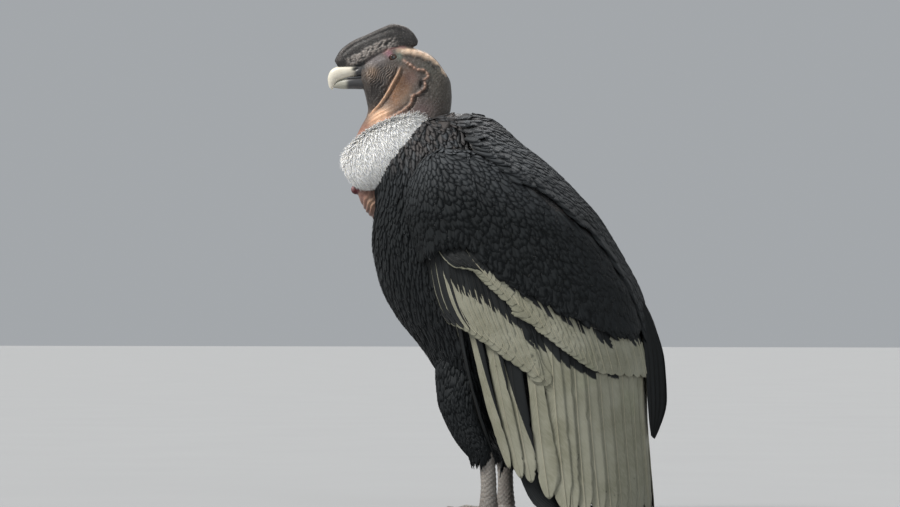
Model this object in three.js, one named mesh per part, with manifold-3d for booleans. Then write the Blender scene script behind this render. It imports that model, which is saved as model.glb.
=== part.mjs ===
// A full-grown male Andean condor standing still with folded wings, facing -X, up +Z, in millimetres.
// Its left side is towards -Y. Outlines are those seen from its left and a little from behind.
import * as THREE from "three";
import { mergeVertices } from "three/addons/utils/BufferGeometryUtils.js";
import Module from "manifold-3d";

const wasm = await Module();
wasm.setup();

// Sizes that drive the bird.
const GAP = 0.3; // clearance between neighbouring pieces
const STACK = 2; // from one laid feather to the next above it
const VIEW_TURN = (12 * Math.PI) / 180; // how far behind the side the outlines are taken
const HEAD_TURN = VIEW_TURN; // the head looks a little to its left
const NECK_PIVOT = -163.5; // the neck turns about this upright line
const SHELL_THICK = 22; // wing from its outer face to the trunk
// A feather's vane is a thin closed blade, thicker at the shaft.
// Its width along its length is a share of its widest.
const VANE_RUN = [0, 0.42, 0.86, 1];
const VANE_WIDTH = [0.62, 1, 0.92, 0.22];
const VANE_EDGE = 0.35; // half thickness of a web at its edge
const VANE_SHAFT = 0.75; // half thickness at the shaft
const SOLE = 0; // floor level

// Trunk: outline in front and behind, and half width, at each height.
const TRUNK = {
  height: [106.5, 132.5, 167, 204.5, 254.5, 299.5, 344, 406, 476.5, 545, 605.5, 640, 665.5, 683, 694],
  front: [0, -31, -51.5, -75.5, -110, -141, -177, -208, -220, -215, -222, -210, -180.5, -146, -103],
  back: [103, 129, 155, 177, 203, 216.5, 220, 203, 165, 115, 57, 17, -14, -36, -57],
  wide: [30, 58, 76, 90, 104, 114, 122, 127, 128, 123, 108, 90, 72, 52, 28],
  powers: [2.1, 2],
};
// Folded wings and back: the same for the surface that the feathers lie on.
const WINGS = {
  height: [0, 98, 167, 235.5, 304.5, 373, 442, 485, 519.5, 550.5, 585, 614, 643.5, 665.5, 683, 695],
  front: [-7, -27.5, -51.5, -70.5, -93, -125.5, -146, -156.5, -165, -163.5, -155, -143, -113.5, -103,
    -93, -77.5],
  back: [273.5, 266.5, 261.5, 259.5, 258, 246, 213.5, 189, 167, 139.5, 106.5, 74, 36, 12, -10.5, -41.5],
  wide: [126, 133, 141, 149, 156, 162, 166, 166, 164, 158, 147, 132, 108, 86, 62, 34],
  powers: [2.2, 3],
};

const clamp = (x) => Math.min(1, Math.max(0, x));
const mix = (a, b, t) => a + (b - a) * t;
const ease = (t) => clamp(t) * clamp(t) * (3 - 2 * clamp(t));
const vec = (x, y, z) => new THREE.Vector3(x, y, z);

// A smooth line through the values at rising keys, level beyond its ends.
function curve(keys, values) {
  const last = keys.length - 1;
  const slope = keys.map((k, i) => {
    if (i === 0 || i === last) return 0;
    const before = (values[i] - values[i - 1]) / (k - keys[i - 1]);
    const after = (values[i + 1] - values[i]) / (keys[i + 1] - k);
    return before * after <= 0 ? 0 : (2 * before * after) / (before + after);
  });
  return (x) => {
    if (x <= keys[0]) return values[0];
    if (x >= keys[last]) return values[last];
    let i = 0;
    while (x > keys[i + 1]) i += 1;
    const h = keys[i + 1] - keys[i];
    const t = (x - keys[i]) / h;
    const rise = t * t * (3 - 2 * t);
    const lead = t * (1 - t) * (1 - t) * h * slope[i];
    const trail = t * t * (t - 1) * h * slope[i + 1];
    return mix(values[i], values[i + 1], rise) + lead + trail;
  };
}

// Closed surface through rings of equal count; opposite faces of a thin ring are split alike.
function loft(rings) {
  const n = rings[0].length;
  const half = n / 2;
  const points = rings.flat();
  const faces = [];
  const id = (i, j) => i * n + (j % n);
  for (let i = 0; i + 1 < rings.length; i += 1) {
    for (let j = 0; j < n; j += 1) {
      const [a, b, c, d] = [id(i, j), id(i + 1, j), id(i + 1, j + 1), id(i, j + 1)];
      if (j < half) faces.push(a, b, c, a, c, d);
      else faces.push(a, b, d, b, c, d);
    }
  }
  for (let j = 0; j + 1 < half; j += 1) {
    const [a, b] = [j, j + 1];
    const [c, d] = [n - 2 - j, n - 1 - j];
    faces.push(a, b, c, a, c, d);
    const top = (rings.length - 1) * n;
    faces.push(top + a, top + c, top + b, top + a, top + d, top + c);
  }
  return solid(surface(points, faces));
}

function surface(points, faces) {
  const g = new THREE.BufferGeometry();
  g.setAttribute("position", new THREE.Float32BufferAttribute(points.flatMap((p) => p.toArray()), 3));
  g.setIndex(faces);
  return g;
}

// A closed solid of a geometry, turned right side out.
function solid(geometry) {
  const g = geometry.clone();
  g.deleteAttribute("normal");
  g.deleteAttribute("uv");
  const merged = mergeVertices(g, 1e-4);
  const at = merged.attributes.position;
  const triVerts = new Uint32Array(merged.index.array);
  let volume = 0;
  const [a, b, c] = [vec(), vec(), vec()];
  for (let i = 0; i < triVerts.length; i += 3) {
    a.fromBufferAttribute(at, triVerts[i]);
    b.fromBufferAttribute(at, triVerts[i + 1]);
    c.fromBufferAttribute(at, triVerts[i + 2]);
    volume += a.dot(b.cross(c));
  }
  if (volume < 0) triVerts.reverse();
  return new wasm.Manifold(new wasm.Mesh({ numProp: 3, vertProperties: at.array, triVerts }));
}

const union = (list) => list.reduce((whole, next) => whole.add(next));

const mirrored = (shape) => shape.mirror([0, 1, 0]);

// The largest closed body of a solid.
function largest(shape) {
  const bodies = shape.decompose();
  return bodies.sort((a, b) => b.volume() - a.volume())[0];
}

// A ring in a plane given by a centre and two half axes; power 2 is an ellipse, more is squarer.
function ring(centre, across, up, count, power = 2) {
  const points = [];
  for (let i = 0; i < count; i += 1) {
    const a = ((i + 0.5) / count) * 2 * Math.PI;
    const [c, s] = [Math.cos(a), Math.sin(a)];
    const p = centre.clone();
    p.addScaledVector(across, Math.sign(c) * Math.abs(c) ** (2 / power));
    p.addScaledVector(up, Math.sign(s) * Math.abs(s) ** (2 / power));
    points.push(p);
  }
  return points;
}

// Turns a point of the head and neck about the neck's upright line, less and less towards its base.
const TURN_FROM = 605.5;
const TURN_TO = 708.5;
function turned(p) {
  const angle = HEAD_TURN * ease((p.z - TURN_FROM) / (TURN_TO - TURN_FROM));
  const [dx, dy] = [p.x - NECK_PIVOT, p.y];
  p.x = NECK_PIVOT + dx * Math.cos(angle) - dy * Math.sin(angle);
  p.y = dx * Math.sin(angle) + dy * Math.cos(angle);
  return p;
}
const turnAll = (rings) => rings.map((r) => r.map(turned));

// Body of upright girths: outline as seen, half width, at each height. The powers say how square it is
// behind and in front.
function girthSurface(sizes, grow = 0) {
  const front = curve(sizes.height, sizes.front);
  const back = curve(sizes.height, sizes.back);
  const wide = curve(sizes.height, sizes.wide);
  const [c, s] = [Math.cos(VIEW_TURN), Math.sin(VIEW_TURN)];
  const depthOf = (half, width, power) => {
    const q = power / (power - 1);
    return Math.max(half ** q - (width * s) ** q, 1) ** (1 / q) / c;
  };
  const girth = (z) => {
    const half = (back(z) - front(z)) / 2 + grow;
    const width = wide(z) + grow;
    const depths = sizes.powers.map((power) => depthOf(half, width, power));
    return { middle: (front(z) + back(z)) / 2 / c, width, depths };
  };
  const flat = (angle, z) => {
    const g = girth(z);
    const [cos, sin] = [Math.cos(angle), Math.sin(angle)];
    const side = cos >= 0 ? 0 : 1;
    const share = 2 / sizes.powers[side];
    const x = g.middle + g.depths[side] * Math.sign(cos) * Math.abs(cos) ** share;
    return vec(x, -g.width * Math.sign(sin) * Math.abs(sin) ** share, z);
  };
  const step = 0.02;
  const normal = (angle, z) => {
    const round = flat(angle + step, z).sub(flat(angle - step, z));
    const rise = flat(angle, z + 1).sub(flat(angle, z - 1));
    return rise.cross(round).normalize();
  };
  const at = (angle, z, lift = 0) => flat(angle, z).addScaledVector(normal(angle, z), lift);
  const view = (angle, z) => {
    const p = flat(angle, z);
    return p.x * c + p.y * s;
  };
  // The angle round the girth, from behind, of the near-side point seen at x.
  const seen = (x, z) => {
    let [rear, fore] = [-0.1, Math.PI - 0.1];
    for (let i = 0; i < 30; i += 1) {
      const middle = (rear + fore) / 2;
      if (view(middle, z) > x) rear = middle;
      else fore = middle;
    }
    return (rear + fore) / 2;
  };
  return { at, normal, seen, view };
}

function girthBody(sizes, count, rows, grow = 0) {
  const surface = girthSurface(sizes, grow);
  const low = sizes.height[0] - grow;
  const high = sizes.height[sizes.height.length - 1] + grow;
  const rings = [];
  for (let i = 0; i <= rows; i += 1) {
    const z = mix(low, high, i / rows);
    const points = [];
    for (let j = 0; j < count; j += 1) points.push(surface.at(((j + 0.5) / count) * 2 * Math.PI, z));
    rings.push(points);
  }
  return loft(rings);
}

const trunk = (grow = 0) => girthBody(TRUNK, 22, 13, grow);
const wingSurface = girthSurface(WINGS);

// A slab on the wing surface between two edges, from its outer to its inner lift.
function slab({ angle, top, bottom, outer, inner, columns, rows }) {
  const rings = [];
  for (let i = 0; i <= columns; i += 1) {
    const s = i / columns;
    const faces = [outer, inner].map((lift) => {
      const line = [];
      for (let j = 0; j <= rows; j += 1) {
        const t = j / rows;
        const z = mix(top(s), bottom(s), t);
        line.push(wingSurface.at(angle(s, z), z, lift(s, t)));
      }
      return line;
    });
    rings.push([...faces[0], ...faces[1].reverse()]);
  }
  return loft(rings);
}

// Lofts of the head: each ring from an inner to an outer point of the profile, with a half width.
// A waist draws the sides in below the rim, at this share of the ring's half height.
const WAIST_AT = 0.45;
const WAIST_TALL = 0.35;
function profileLoft(stations, { count, power = 2, waist = 0 }, grow = 0) {
  const middles = stations.map(([[x0, z0], [x1, z1]]) => vec((x0 + x1) / 2, 0, (z0 + z1) / 2));
  const last = middles.length - 1;
  middles[0].add(middles[0].clone().sub(middles[1]).setLength(2 * grow));
  middles[last].add(middles[last].clone().sub(middles[last - 1]).setLength(2 * grow));
  return loft(
    turnAll(
      stations.map(([[x0, z0], [x1, z1], width], i) => {
        const up = vec((x1 - x0) / 2, 0, (z1 - z0) / 2);
        up.setLength(up.length() + grow);
        const points = ring(middles[i], vec(0, width + grow, 0), up, count, power);
        points.forEach((p, k) => {
          const height = Math.sin(((k + 0.5) / count) * 2 * Math.PI);
          p.y *= 1 - waist * Math.exp(-(((height - WAIST_AT) / WAIST_TALL) ** 2));
        });
        return points;
      }),
    ),
  );
}

// Half width of such a loft at a spot of its profile: that of the ring whose line passes closest.
function flankOf(stations, power) {
  const last = stations.length - 1;
  const steps = 40 * last;
  const lineAt = (t) => {
    const i = Math.min(last - 1, Math.floor(t));
    const [from, to] = [stations[i], stations[i + 1]];
    const end = (k) => vec(mix(from[k][0], to[k][0], t - i), 0, mix(from[k][1], to[k][1], t - i));
    const up = end(1).sub(end(0)).divideScalar(2);
    return { middle: end(0).add(up), up, width: mix(from[2], to[2], t - i) };
  };
  return ([x, z]) => {
    let [nearest, flank] = [Infinity, 0];
    for (let k = 0; k <= steps; k += 1) {
      const { middle, up, width } = lineAt((k / steps) * last);
      const away = vec(x, 0, z).sub(middle);
      const miss = away.clone().cross(up).length() / up.length();
      if (miss >= nearest) continue;
      const height = clamp(Math.abs(away.dot(up)) / up.lengthSq());
      nearest = miss;
      flank = width * (1 - height ** power) ** (1 / power);
    }
    return flank;
  };
}

// A rounded fold of skin along a line of profile spots, most of it sunk in the flank; side is -1 on the left.
const FOLD_SUNK = 0.05;
const FOLD_END = 0.6; // thickness at its ends
function foldOf({ spots, thick, flank, side }, grow = 0) {
  const line = spots.map((spot) => vec(spot[0], side * (flank(spot) - FOLD_SUNK * thick), spot[1]));
  const last = line.length - 1;
  return loft(
    turnAll(
      line.map((p, i) => {
        const end = i === 0 ? -1 : Number(i === last);
        const run = line[Math.min(last, i + 1)].clone().sub(line[Math.max(0, i - 1)]).normalize();
        const out = vec(0, side, 0).addScaledVector(run, -side * run.y).normalize();
        const across = run.clone().cross(out);
        const half = thick * (end === 0 ? 1 : FOLD_END) + grow;
        const centre = p.clone().addScaledVector(run, end * grow);
        return ring(centre, across.multiplyScalar(half), out.multiplyScalar(half), 4);
      }),
    ),
  );
}
const SIDES = [-1, 1];

// The place of a profile spot of the head or neck at a distance from its middle plane.
const beside = ([x, z], y) => turned(vec(x, y, z));

// A small round body of an even count of sides, a little flat at its poles.
const POLE = 0.3;
function ball(centre, radius, count) {
  const rings = [];
  for (let i = 0; i <= count / 2; i += 1) {
    const a = mix(POLE, Math.PI - POLE, (2 * i) / count);
    const [flat, lift] = [radius * Math.sin(a), radius * Math.cos(a)];
    rings.push(ring(centre.clone().add(vec(0, lift, 0)), vec(flat, 0, 0), vec(0, 0, flat), count));
  }
  return loft(rings);
}

// An even spread of small differences, the same for the same feather each time.
const vary = (i, amount) => {
  const s = Math.sin(i * 127.1 + 3.7) * 43758.5;
  return (s - Math.floor(s) - 0.5) * 2 * amount;
};

const HEAD = [
  [[-237.5, 739.5], [-239, 782.5], 13],
  [[-234, 734.5], [-222, 793], 20],
  [[-232, 727.5], [-199.5, 805], 26],
  [[-230.5, 720.5], [-172, 810], 29],
  [[-229, 712], [-146, 806.5], 31],
  [[-229, 702], [-120.5, 794.5], 34],
  [[-234, 689.5], [-101.5, 772.5], 38],
];
const NECK = [
  [[-234, 689.5], [-101.5, 772.5], 38],
  [[-242.5, 674], [-87.5, 746.5], 43],
  [[-251, 657], [-86, 722.5], 48],
  [[-259.5, 634.5], [-87.5, 702], 54],
  [[-261.5, 605.5], [-96.5, 679.5], 60],
  [[-247.5, 579.5], [-110, 648.5], 58],
];
const BILL_UPPER = [
  [[-234, 758.5], [-234, 781], 13],
  [[-258, 757.5], [-258, 778.5], 12],
  [[-270, 755], [-270, 776.5], 10.5],
  [[-282, 751], [-282, 775], 8.5],
  [[-290.5, 746.5], [-292.5, 767], 6],
  [[-294, 741.5], [-296.5, 757], 4],
  [[-292.5, 737], [-296, 743], 1.5],
];
const BILL_LOWER = [
  [[-234, 736], [-234, 762], 12],
  [[-256.5, 737], [-256.5, 760], 11],
  [[-270, 737], [-270, 757], 8],
  [[-282, 738.5], [-282, 751.5], 5],
  [[-288, 740.5], [-288, 744], 2.5],
];

const parts = new THREE.Group();
const made = [];
function add(name, shape, color, roughness = 0.7) {
  made.push({ name, shape: largest(shape), color, roughness });
}

const trunkClear = trunk(GAP);
add("torso", trunk(), 0x1d2124, 0.8);

// Folds and wattles of the bare skin: spots of the profile and half thickness.
const FLESH = 2.2; // power of the head's and neck's sections
const headFlank = flankOf(HEAD, FLESH);
const neckFlank = flankOf(NECK, FLESH);
const HEAD_FOLDS = [
  // From the eye down the throat.
  { spots: [[-172, 775.5], [-179, 760], [-191, 739.5], [-206.5, 714]], thick: 4.5 },
  // Behind the eye and round the ear.
  { spots: [[-168.5, 786], [-146, 772.5], [-129, 762], [-125.5, 751.5], [-130.5, 738]], thick: 4.5 },
  // Brow.
  { spots: [[-201, 798], [-194.5, 803], [-180.5, 805], [-170.5, 800]], thick: 3.4 },
  // Pad along the crown.
  { spots: [[-168.5, 805], [-144.5, 796.5], [-120.5, 782.5]], thick: 4.5 },
  // Cheek behind the mouth.
  { spots: [[-232, 770.5], [-225.5, 755], [-222, 732.5]], thick: 3.2 },
];
const NECK_FOLDS = [
  // Bulge of the throat.
  { spots: [[-210, 700], [-225.5, 683], [-244, 652]], thick: 6 },
  // Twisted wattle.
  { spots: [[-144.5, 710.5], [-163.5, 696.5], [-186, 684.5], [-216.5, 665.5]], thick: 5 },
];
const bothSides = (list, flank, grow = 0) =>
  list.flatMap(({ spots, thick }) => SIDES.map((side) => foldOf({ spots, thick, flank, side }, grow)));
const headForm = (grow = 0) =>
  union([profileLoft(HEAD, { count: 18, power: FLESH }, grow), ...bothSides(HEAD_FOLDS, headFlank, grow)]);
const neckForm = (grow = 0) =>
  union([profileLoft(NECK, { count: 18, power: FLESH }, grow), ...bothSides(NECK_FOLDS, neckFlank, grow)]);
const headClear = headForm(GAP);
const neckClear = neckForm(GAP);
const upper = (grow = 0) => profileLoft(BILL_UPPER, { count: 12 }, grow);
const lower = (grow = 0) => profileLoft(BILL_LOWER, { count: 12 }, grow);
const upperClear = upper(GAP);
const NOSTRIL = { spot: [-251, 771.5], out: 12, radius: 3.2 };
const nostrils = SIDES.map((side) => ball(beside(NOSTRIL.spot, side * NOSTRIL.out), NOSTRIL.radius, 6));
add("bill_upper", upper().subtract(union(nostrils)), 0xe8e2d0, 0.4);
add("bill_lower", lower().subtract(upperClear), 0xcfc7b4, 0.4);

// Eyes, let into the sides of the head between their lids, and the open cups of the ears.
const EYE = { spot: [-187.5, 790.5], out: 18, radius: 8 };
const EAR = { spot: [-139.5, 745], radius: 4.5 };
const LIDS = [
  { spots: [[-197, 789.5], [-192.5, 796.5], [-182.5, 797], [-177, 789.5]], thick: 1.9 }, // upper
  { spots: [[-196, 788.5], [-192, 782.5], [-182.5, 782.5], [-178, 788.5]], thick: 1.7 }, // lower
];
const LID_STAND = 1; // how far a lid stands out from the flank
const lids = bothSides(LIDS, (spot) => headFlank(spot) + LID_STAND);
const eyes = (grow = 0) => SIDES.map((side) => ball(beside(EYE.spot, side * EYE.out), EYE.radius + grow, 10));
const earCups = SIDES.map((side) => ball(beside(EAR.spot, side * headFlank(EAR.spot)), EAR.radius, 6));
const hollows = union([...eyes(GAP), ...earCups, upperClear, lower(GAP)]);
add("head", union([headForm(), ...lids]).subtract(hollows), 0x6a5348, 0.7);
add("eye_left", eyes()[0], 0x5a3a26, 0.2);
add("eye_right", eyes()[1], 0x5a3a26, 0.2);
add("neck", neckForm().subtract(headClear).subtract(trunkClear), 0xa87a5e, 0.7);

// Comb: a thick fleshy blade on the crown.
const COMB = [
  [[-278.5, 774], [-284, 786], 6],
  [[-265, 772.5], [-275, 803], 10],
  [[-246, 772.5], [-254.5, 820.5], 13],
  [[-225.5, 775.5], [-234, 831], 14.5],
  [[-204.5, 786], [-211.5, 841], 14],
  [[-186, 793], [-187.5, 849.5], 12],
  [[-168.5, 803], [-167, 845.5], 9],
  [[-153, 809.5], [-151.5, 832.5], 6.5],
  [[-146, 812.5], [-144.5, 820.5], 3],
];
const COMB_WAIST = 0.2; // how far the sides draw in below the thick rim
const COMB_POWER = 2.4;
const NODULE = { radius: 5, vary: 0.9 };
// They stand along the comb's base.
const NODULES = [[-256.5, 788], [-241, 800], [-225.5, 794.5], [-210, 808.5], [-192.5, 806.5]];
const combFlank = flankOf(COMB, COMB_POWER);
const nodules = SIDES.flatMap((side) =>
  NODULES.map((spot, i) => {
    const radius = NODULE.radius + vary(i, NODULE.vary);
    return ball(beside(spot, side * combFlank(spot)), radius, 4);
  }),
);
const combForm = profileLoft(COMB, { count: 12, power: COMB_POWER, waist: COMB_WAIST });
add("comb", union([combForm, ...nodules]).subtract(headClear).subtract(upperClear), 0x4a4340, 0.8);

// Ruff: a downy collar round the base of the neck, deep at the sides and thin at the nape.
const RUFF_FRONT = [-251, 593.5];
const RUFF_BACK = [-113.5, 669];
const RUFF_WIDE = 58; // from the middle plane to the collar's middle at the sides
const RUFF_UP = vec(-0.5, 0, 0.85).normalize();
// Centre and half axes of the collar's section at an angle round the neck.
function ruffSection(a, grow = 0) {
  const share = (1 - Math.cos(a)) / 2;
  const [x, z] = [0, 1].map((k) => mix(RUFF_FRONT[k], RUFF_BACK[k], share));
  const centre = vec(x, -RUFF_WIDE * Math.sin(a), z);
  const out = vec(-0.8 * Math.cos(a), -Math.sin(a), -0.55 * Math.cos(a)).normalize();
  const side = Math.abs(Math.sin(a));
  const tall = mix(share < 0.5 ? 26 : 8, 46, side) + grow;
  const deep = mix(share < 0.5 ? 16 : 8, 26, side) + grow;
  return { centre, out, tall, deep };
}
// Flat tapered locks of down, in two rows, that lie down over the collar and overlap.
const LOCK = {
  rows: [
    { count: 12, height: 0.35, offset: 0 },
    { count: 11, height: -0.35, offset: 0.5 },
  ],
  run: [0, 0.55, 1],
  width: [0.7, 1, 0.25], // as a share of the widest, which is more at the sides than in front
  front: 9,
  side: 16,
  reach: 0.9, // length as a share of the section's half height
  sunk: 3, // how deep the root lies
  stand: 4, // how far the tip stands out
  thick: 2.4,
};
function ruffLock(a, height, grow) {
  const { centre, out, tall, deep } = ruffSection(a);
  const ahead = out.clone().cross(RUFF_UP).normalize();
  const widest = mix(LOCK.front, LOCK.side, Math.abs(Math.sin(a)));
  return loft(
    LOCK.run.map((t, i) => {
      const level = Math.max(-1, height - LOCK.reach * t + (i === 0 ? grow : i === 2 ? -grow : 0) / tall);
      const stand = Math.sqrt(1 - level * level) * deep + mix(-LOCK.sunk, LOCK.stand, t);
      const middle = centre.clone().addScaledVector(RUFF_UP, level * tall).addScaledVector(out, stand);
      const half = ahead.clone().multiplyScalar(widest * LOCK.width[i] + grow);
      return ring(middle, half, out.clone().multiplyScalar(LOCK.thick + grow), 4);
    }),
  );
}
const ruffLocks = (grow) =>
  LOCK.rows.flatMap(({ count, height, offset }) =>
    Array.from({ length: count }, (_, i) => ruffLock(((i + offset) / count) * 2 * Math.PI, height, grow)),
  );
const RUFF_STEPS = 24;
const RUFF_SIDES = 8;
// The collar is a closed hoop: its last ring joins its first.
function collar(grow = 0) {
  const rings = Array.from({ length: RUFF_STEPS }, (_, i) => {
    const { centre, out, tall, deep } = ruffSection((i / RUFF_STEPS) * 2 * Math.PI, grow);
    return ring(centre, out.multiplyScalar(deep), RUFF_UP.clone().multiplyScalar(tall), RUFF_SIDES);
  });
  const id = (i, j) => (i % RUFF_STEPS) * RUFF_SIDES + (j % RUFF_SIDES);
  const faces = [];
  for (let i = 0; i < RUFF_STEPS; i += 1) {
    for (let j = 0; j < RUFF_SIDES; j += 1) {
      const [a, b, c, d] = [id(i, j), id(i + 1, j), id(i + 1, j + 1), id(i, j + 1)];
      faces.push(a, b, c, a, c, d);
    }
  }
  return solid(surface(rings.flat(), faces));
}
const ruffForm = (grow = 0) => union([collar(grow), ...ruffLocks(grow)]);
const ruffClear = ruffForm(GAP);
add("ruff", ruffForm().subtract(trunkClear).subtract(neckClear), 0xf2f0ea, 0.95);

// Bare skin of the crop, below the ruff in front, with its red bulb.
const CROP = [
  [[-254.5, 571], [-251, 583], 14],
  [[-249.5, 554], [-227, 583], 24],
  [[-234, 524.5], [-198, 566], 30],
  [[-216.5, 509], [-186, 536.5], 26],
  [[-210, 504], [-192.5, 512.5], 12],
];
const LOBES = [
  { spot: [-218.5, 540], out: 25, radius: 9 },
  { spot: [-196, 530], out: 24, radius: 8 },
  { spot: [-234, 557.5], out: 17, radius: 7 },
];
const lobes = (grow) =>
  LOBES.flatMap(({ spot, out, radius }) =>
    SIDES.map((side) => ball(beside(spot, side * out), radius + grow, 8)),
  );
const crop = (grow = 0) => union([profileLoft(CROP, { count: 14 }, grow), ...lobes(grow)]);
const downClear = union([trunkClear, ruffClear, neckClear]);
add("crop_skin", crop().subtract(downClear), 0xa87f6a, 0.6);
const BULB = { spot: [-253, 564], out: -6, radius: 8.5 };
const bulb = ball(beside(BULB.spot, BULB.out), BULB.radius, 12);
add("red_bulb", bulb.subtract(crop(GAP)).subtract(downClear), 0x7a1f26, 0.5);

// A thin closed vane through sections of three points, edge, shaft and edge, each with its outward direction.
function blade(sections, grow = 0) {
  return loft(
    sections.map(({ points, outs }) => {
      const halves = [VANE_EDGE + grow, VANE_SHAFT + grow, VANE_EDGE + grow];
      const upper = points.map((p, i) => p.clone().addScaledVector(outs[i], halves[i]));
      const under = points.map((p, i) => p.clone().addScaledVector(outs[i], -halves[i]));
      return [...upper, ...under.reverse()];
    }),
  );
}

// Back of the bird between the wings: mantle and shoulder feathers, edged by a slit on either side.
const SLIT = {
  height: [373, 416, 456, 485, 519.5, 542, 566, 585, 614, 643.5, 669, 686.5],
  x: [230.5, 206.5, 180.5, 161.5, 122, 89.5, 60, 29, -8.5, -44.5, -55, -72],
};
const slitAt = curve(SLIT.height, SLIT.x);
const slitAngle = (z) => wingSurface.seen(slitAt(z), z);
const MANTLE_THICK = 22;
function mantleSlab(grow = 0) {
  const top = () => 692.5 + grow;
  const bottom = () => 373 - grow;
  return slab({
    angle: (s, z) => (2 * s - 1) * (slitAngle(z) + grow / 60),
    top,
    bottom,
    outer: (s, t) => grow - 4 * (2 * t - 1) ** 8,
    inner: () => -MANTLE_THICK - grow,
    columns: 10,
    rows: 7,
  });
}
// Innermost flight feathers: a ridged roof behind the folded wings, of overlapping vanes on either side.
// Each ring of a vane lies between the ridge, in the middle plane, and an edge that lies on the wing.
const TERTIALS = {
  ridge: [[215, 419.5], [266.5, 335.5], [285.5, 266.5], [289, 204.5], [278.5, 160], [266.5, 137.5]],
  angle: [0.2, 0.19, 0.16, 0.14, 0.09, 0.03], // of the edge, round the girth from behind
  lift: [-5, 1, 2.5, 2.5, 2.5, 2.5],
  shares: [
    [-0.05, 0.46],
    [0.28, 0.73],
    [0.53, 1],
  ],
};
const tertialVane = (k, grow = 0) => {
  const rings = TERTIALS.ridge.map(([x, z], i) => {
    const foot = wingSurface.at(TERTIALS.angle[i], z, TERTIALS.lift[i]);
    return { ridge: vec(x, 0, z), foot };
  });
  const stations = rings.map(({ ridge, foot }, i) => {
    const next = rings[Math.min(i + 1, rings.length - 1)].ridge;
    const run = next.clone().sub(rings[Math.max(i - 1, 0)].ridge);
    const across = foot.clone().sub(ridge);
    const out = across.clone().cross(run).normalize().negate();
    const [from, to] = TERTIALS.shares[k];
    const reach = grow / across.length();
    const points = [from - reach, (from + to) / 2, to + reach].map((share) =>
      ridge.clone().addScaledVector(across, share).addScaledVector(out, -STACK * k),
    );
    return { points, outs: [out, out, out] };
  });
  return blade(stations, grow);
};
// The two halves of the roof meet in the middle plane.
function tertials(grow = 0) {
  const half = union([0, 1, 2].map((k) => tertialVane(k, grow))).trimByPlane([0, -1, 0], 0);
  return half.add(mirrored(half));
}
const mantleForm = (grow = 0) => mantleSlab(grow).add(tertials(grow));
add("mantle", mantleForm().subtract(downClear), 0x24282b, 0.8);
const mantleClear = mantleForm(GAP);

const LEG_Y = 74;
const SHANK = [
  [[-10.5, 115], 13, 10],
  [[-7, 87.5], 13.5, 11],
  [[-5, 57], 13.5, 11],
  [[-5, 34.5], 15, 13],
  [[-5, 20.5], 17, 15],
];
// A level ring of the leg, by its place, half depth and half width.
const legRing = (x, y, z, deep, wide, count) => ring(vec(x, y, z), vec(deep, 0, 0), vec(0, wide, 0), count);
function shank(grow = 0) {
  return loft(SHANK.map(([[x, z], deep, wide]) => legRing(x, -LEG_Y, z, deep + grow, wide + grow, 10)));
}

// Wing: shoulder, arm and small coverts as one smooth body; its lower edge, as seen, hides the feather roots.
const ARM_TOP = curve([0, 0.15, 0.5, 1], [536.5, 614, 643.5, 631]);
const ARM_EDGE = curve(
  [-165, -144.5, -130.5, -110, -86, -60, -34.5, -1.5, 34.5, 65.5, 106.5, 155, 187.5, 258],
  [459, 452.5, 459, 474.5, 488.5, 476.5, 449, 421.5, 392, 373, 351, 325, 313, 311.5],
);
const FRONT_ANGLE = Math.PI - 0.25;
const REAR_ANGLE = 0.06;
const wingAngle = (s, z) => mix(FRONT_ANGLE, Math.max(REAR_ANGLE, slitAngle(z) + 0.03), s);
// Height of the arm's lower edge along a line of angles that change with height.
function armLow(angleAt) {
  let z = 390.5;
  for (let i = 0; i < 16; i += 1) z = mix(z, ARM_EDGE(wingSurface.view(angleAt(z), z)), 0.5);
  return z;
}
const armSlab = (grow = 0) =>
  slab({
    angle: (s, z) => wingAngle(s, z) + (1 - 2 * s) * (grow / 60),
    top: (s) => ARM_TOP(s) + grow,
    bottom: (s) => armLow((z) => wingAngle(s, z)) - grow,
    outer: (s, t) => grow - 12 * (1 - clamp(t / 0.2)) ** 2 - 3 * (1 - clamp((1 - t) / 0.12)) ** 2,
    inner: () => -SHELL_THICK - grow,
    columns: 12,
    rows: 6,
  });
function pair(name, shape, color, roughness) {
  const own = shape.trimByPlane([0, -1, 0], GAP / 2);
  add(name + "_left", own, color, roughness);
  add(name + "_right", mirrored(own), color, roughness);
}

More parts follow.
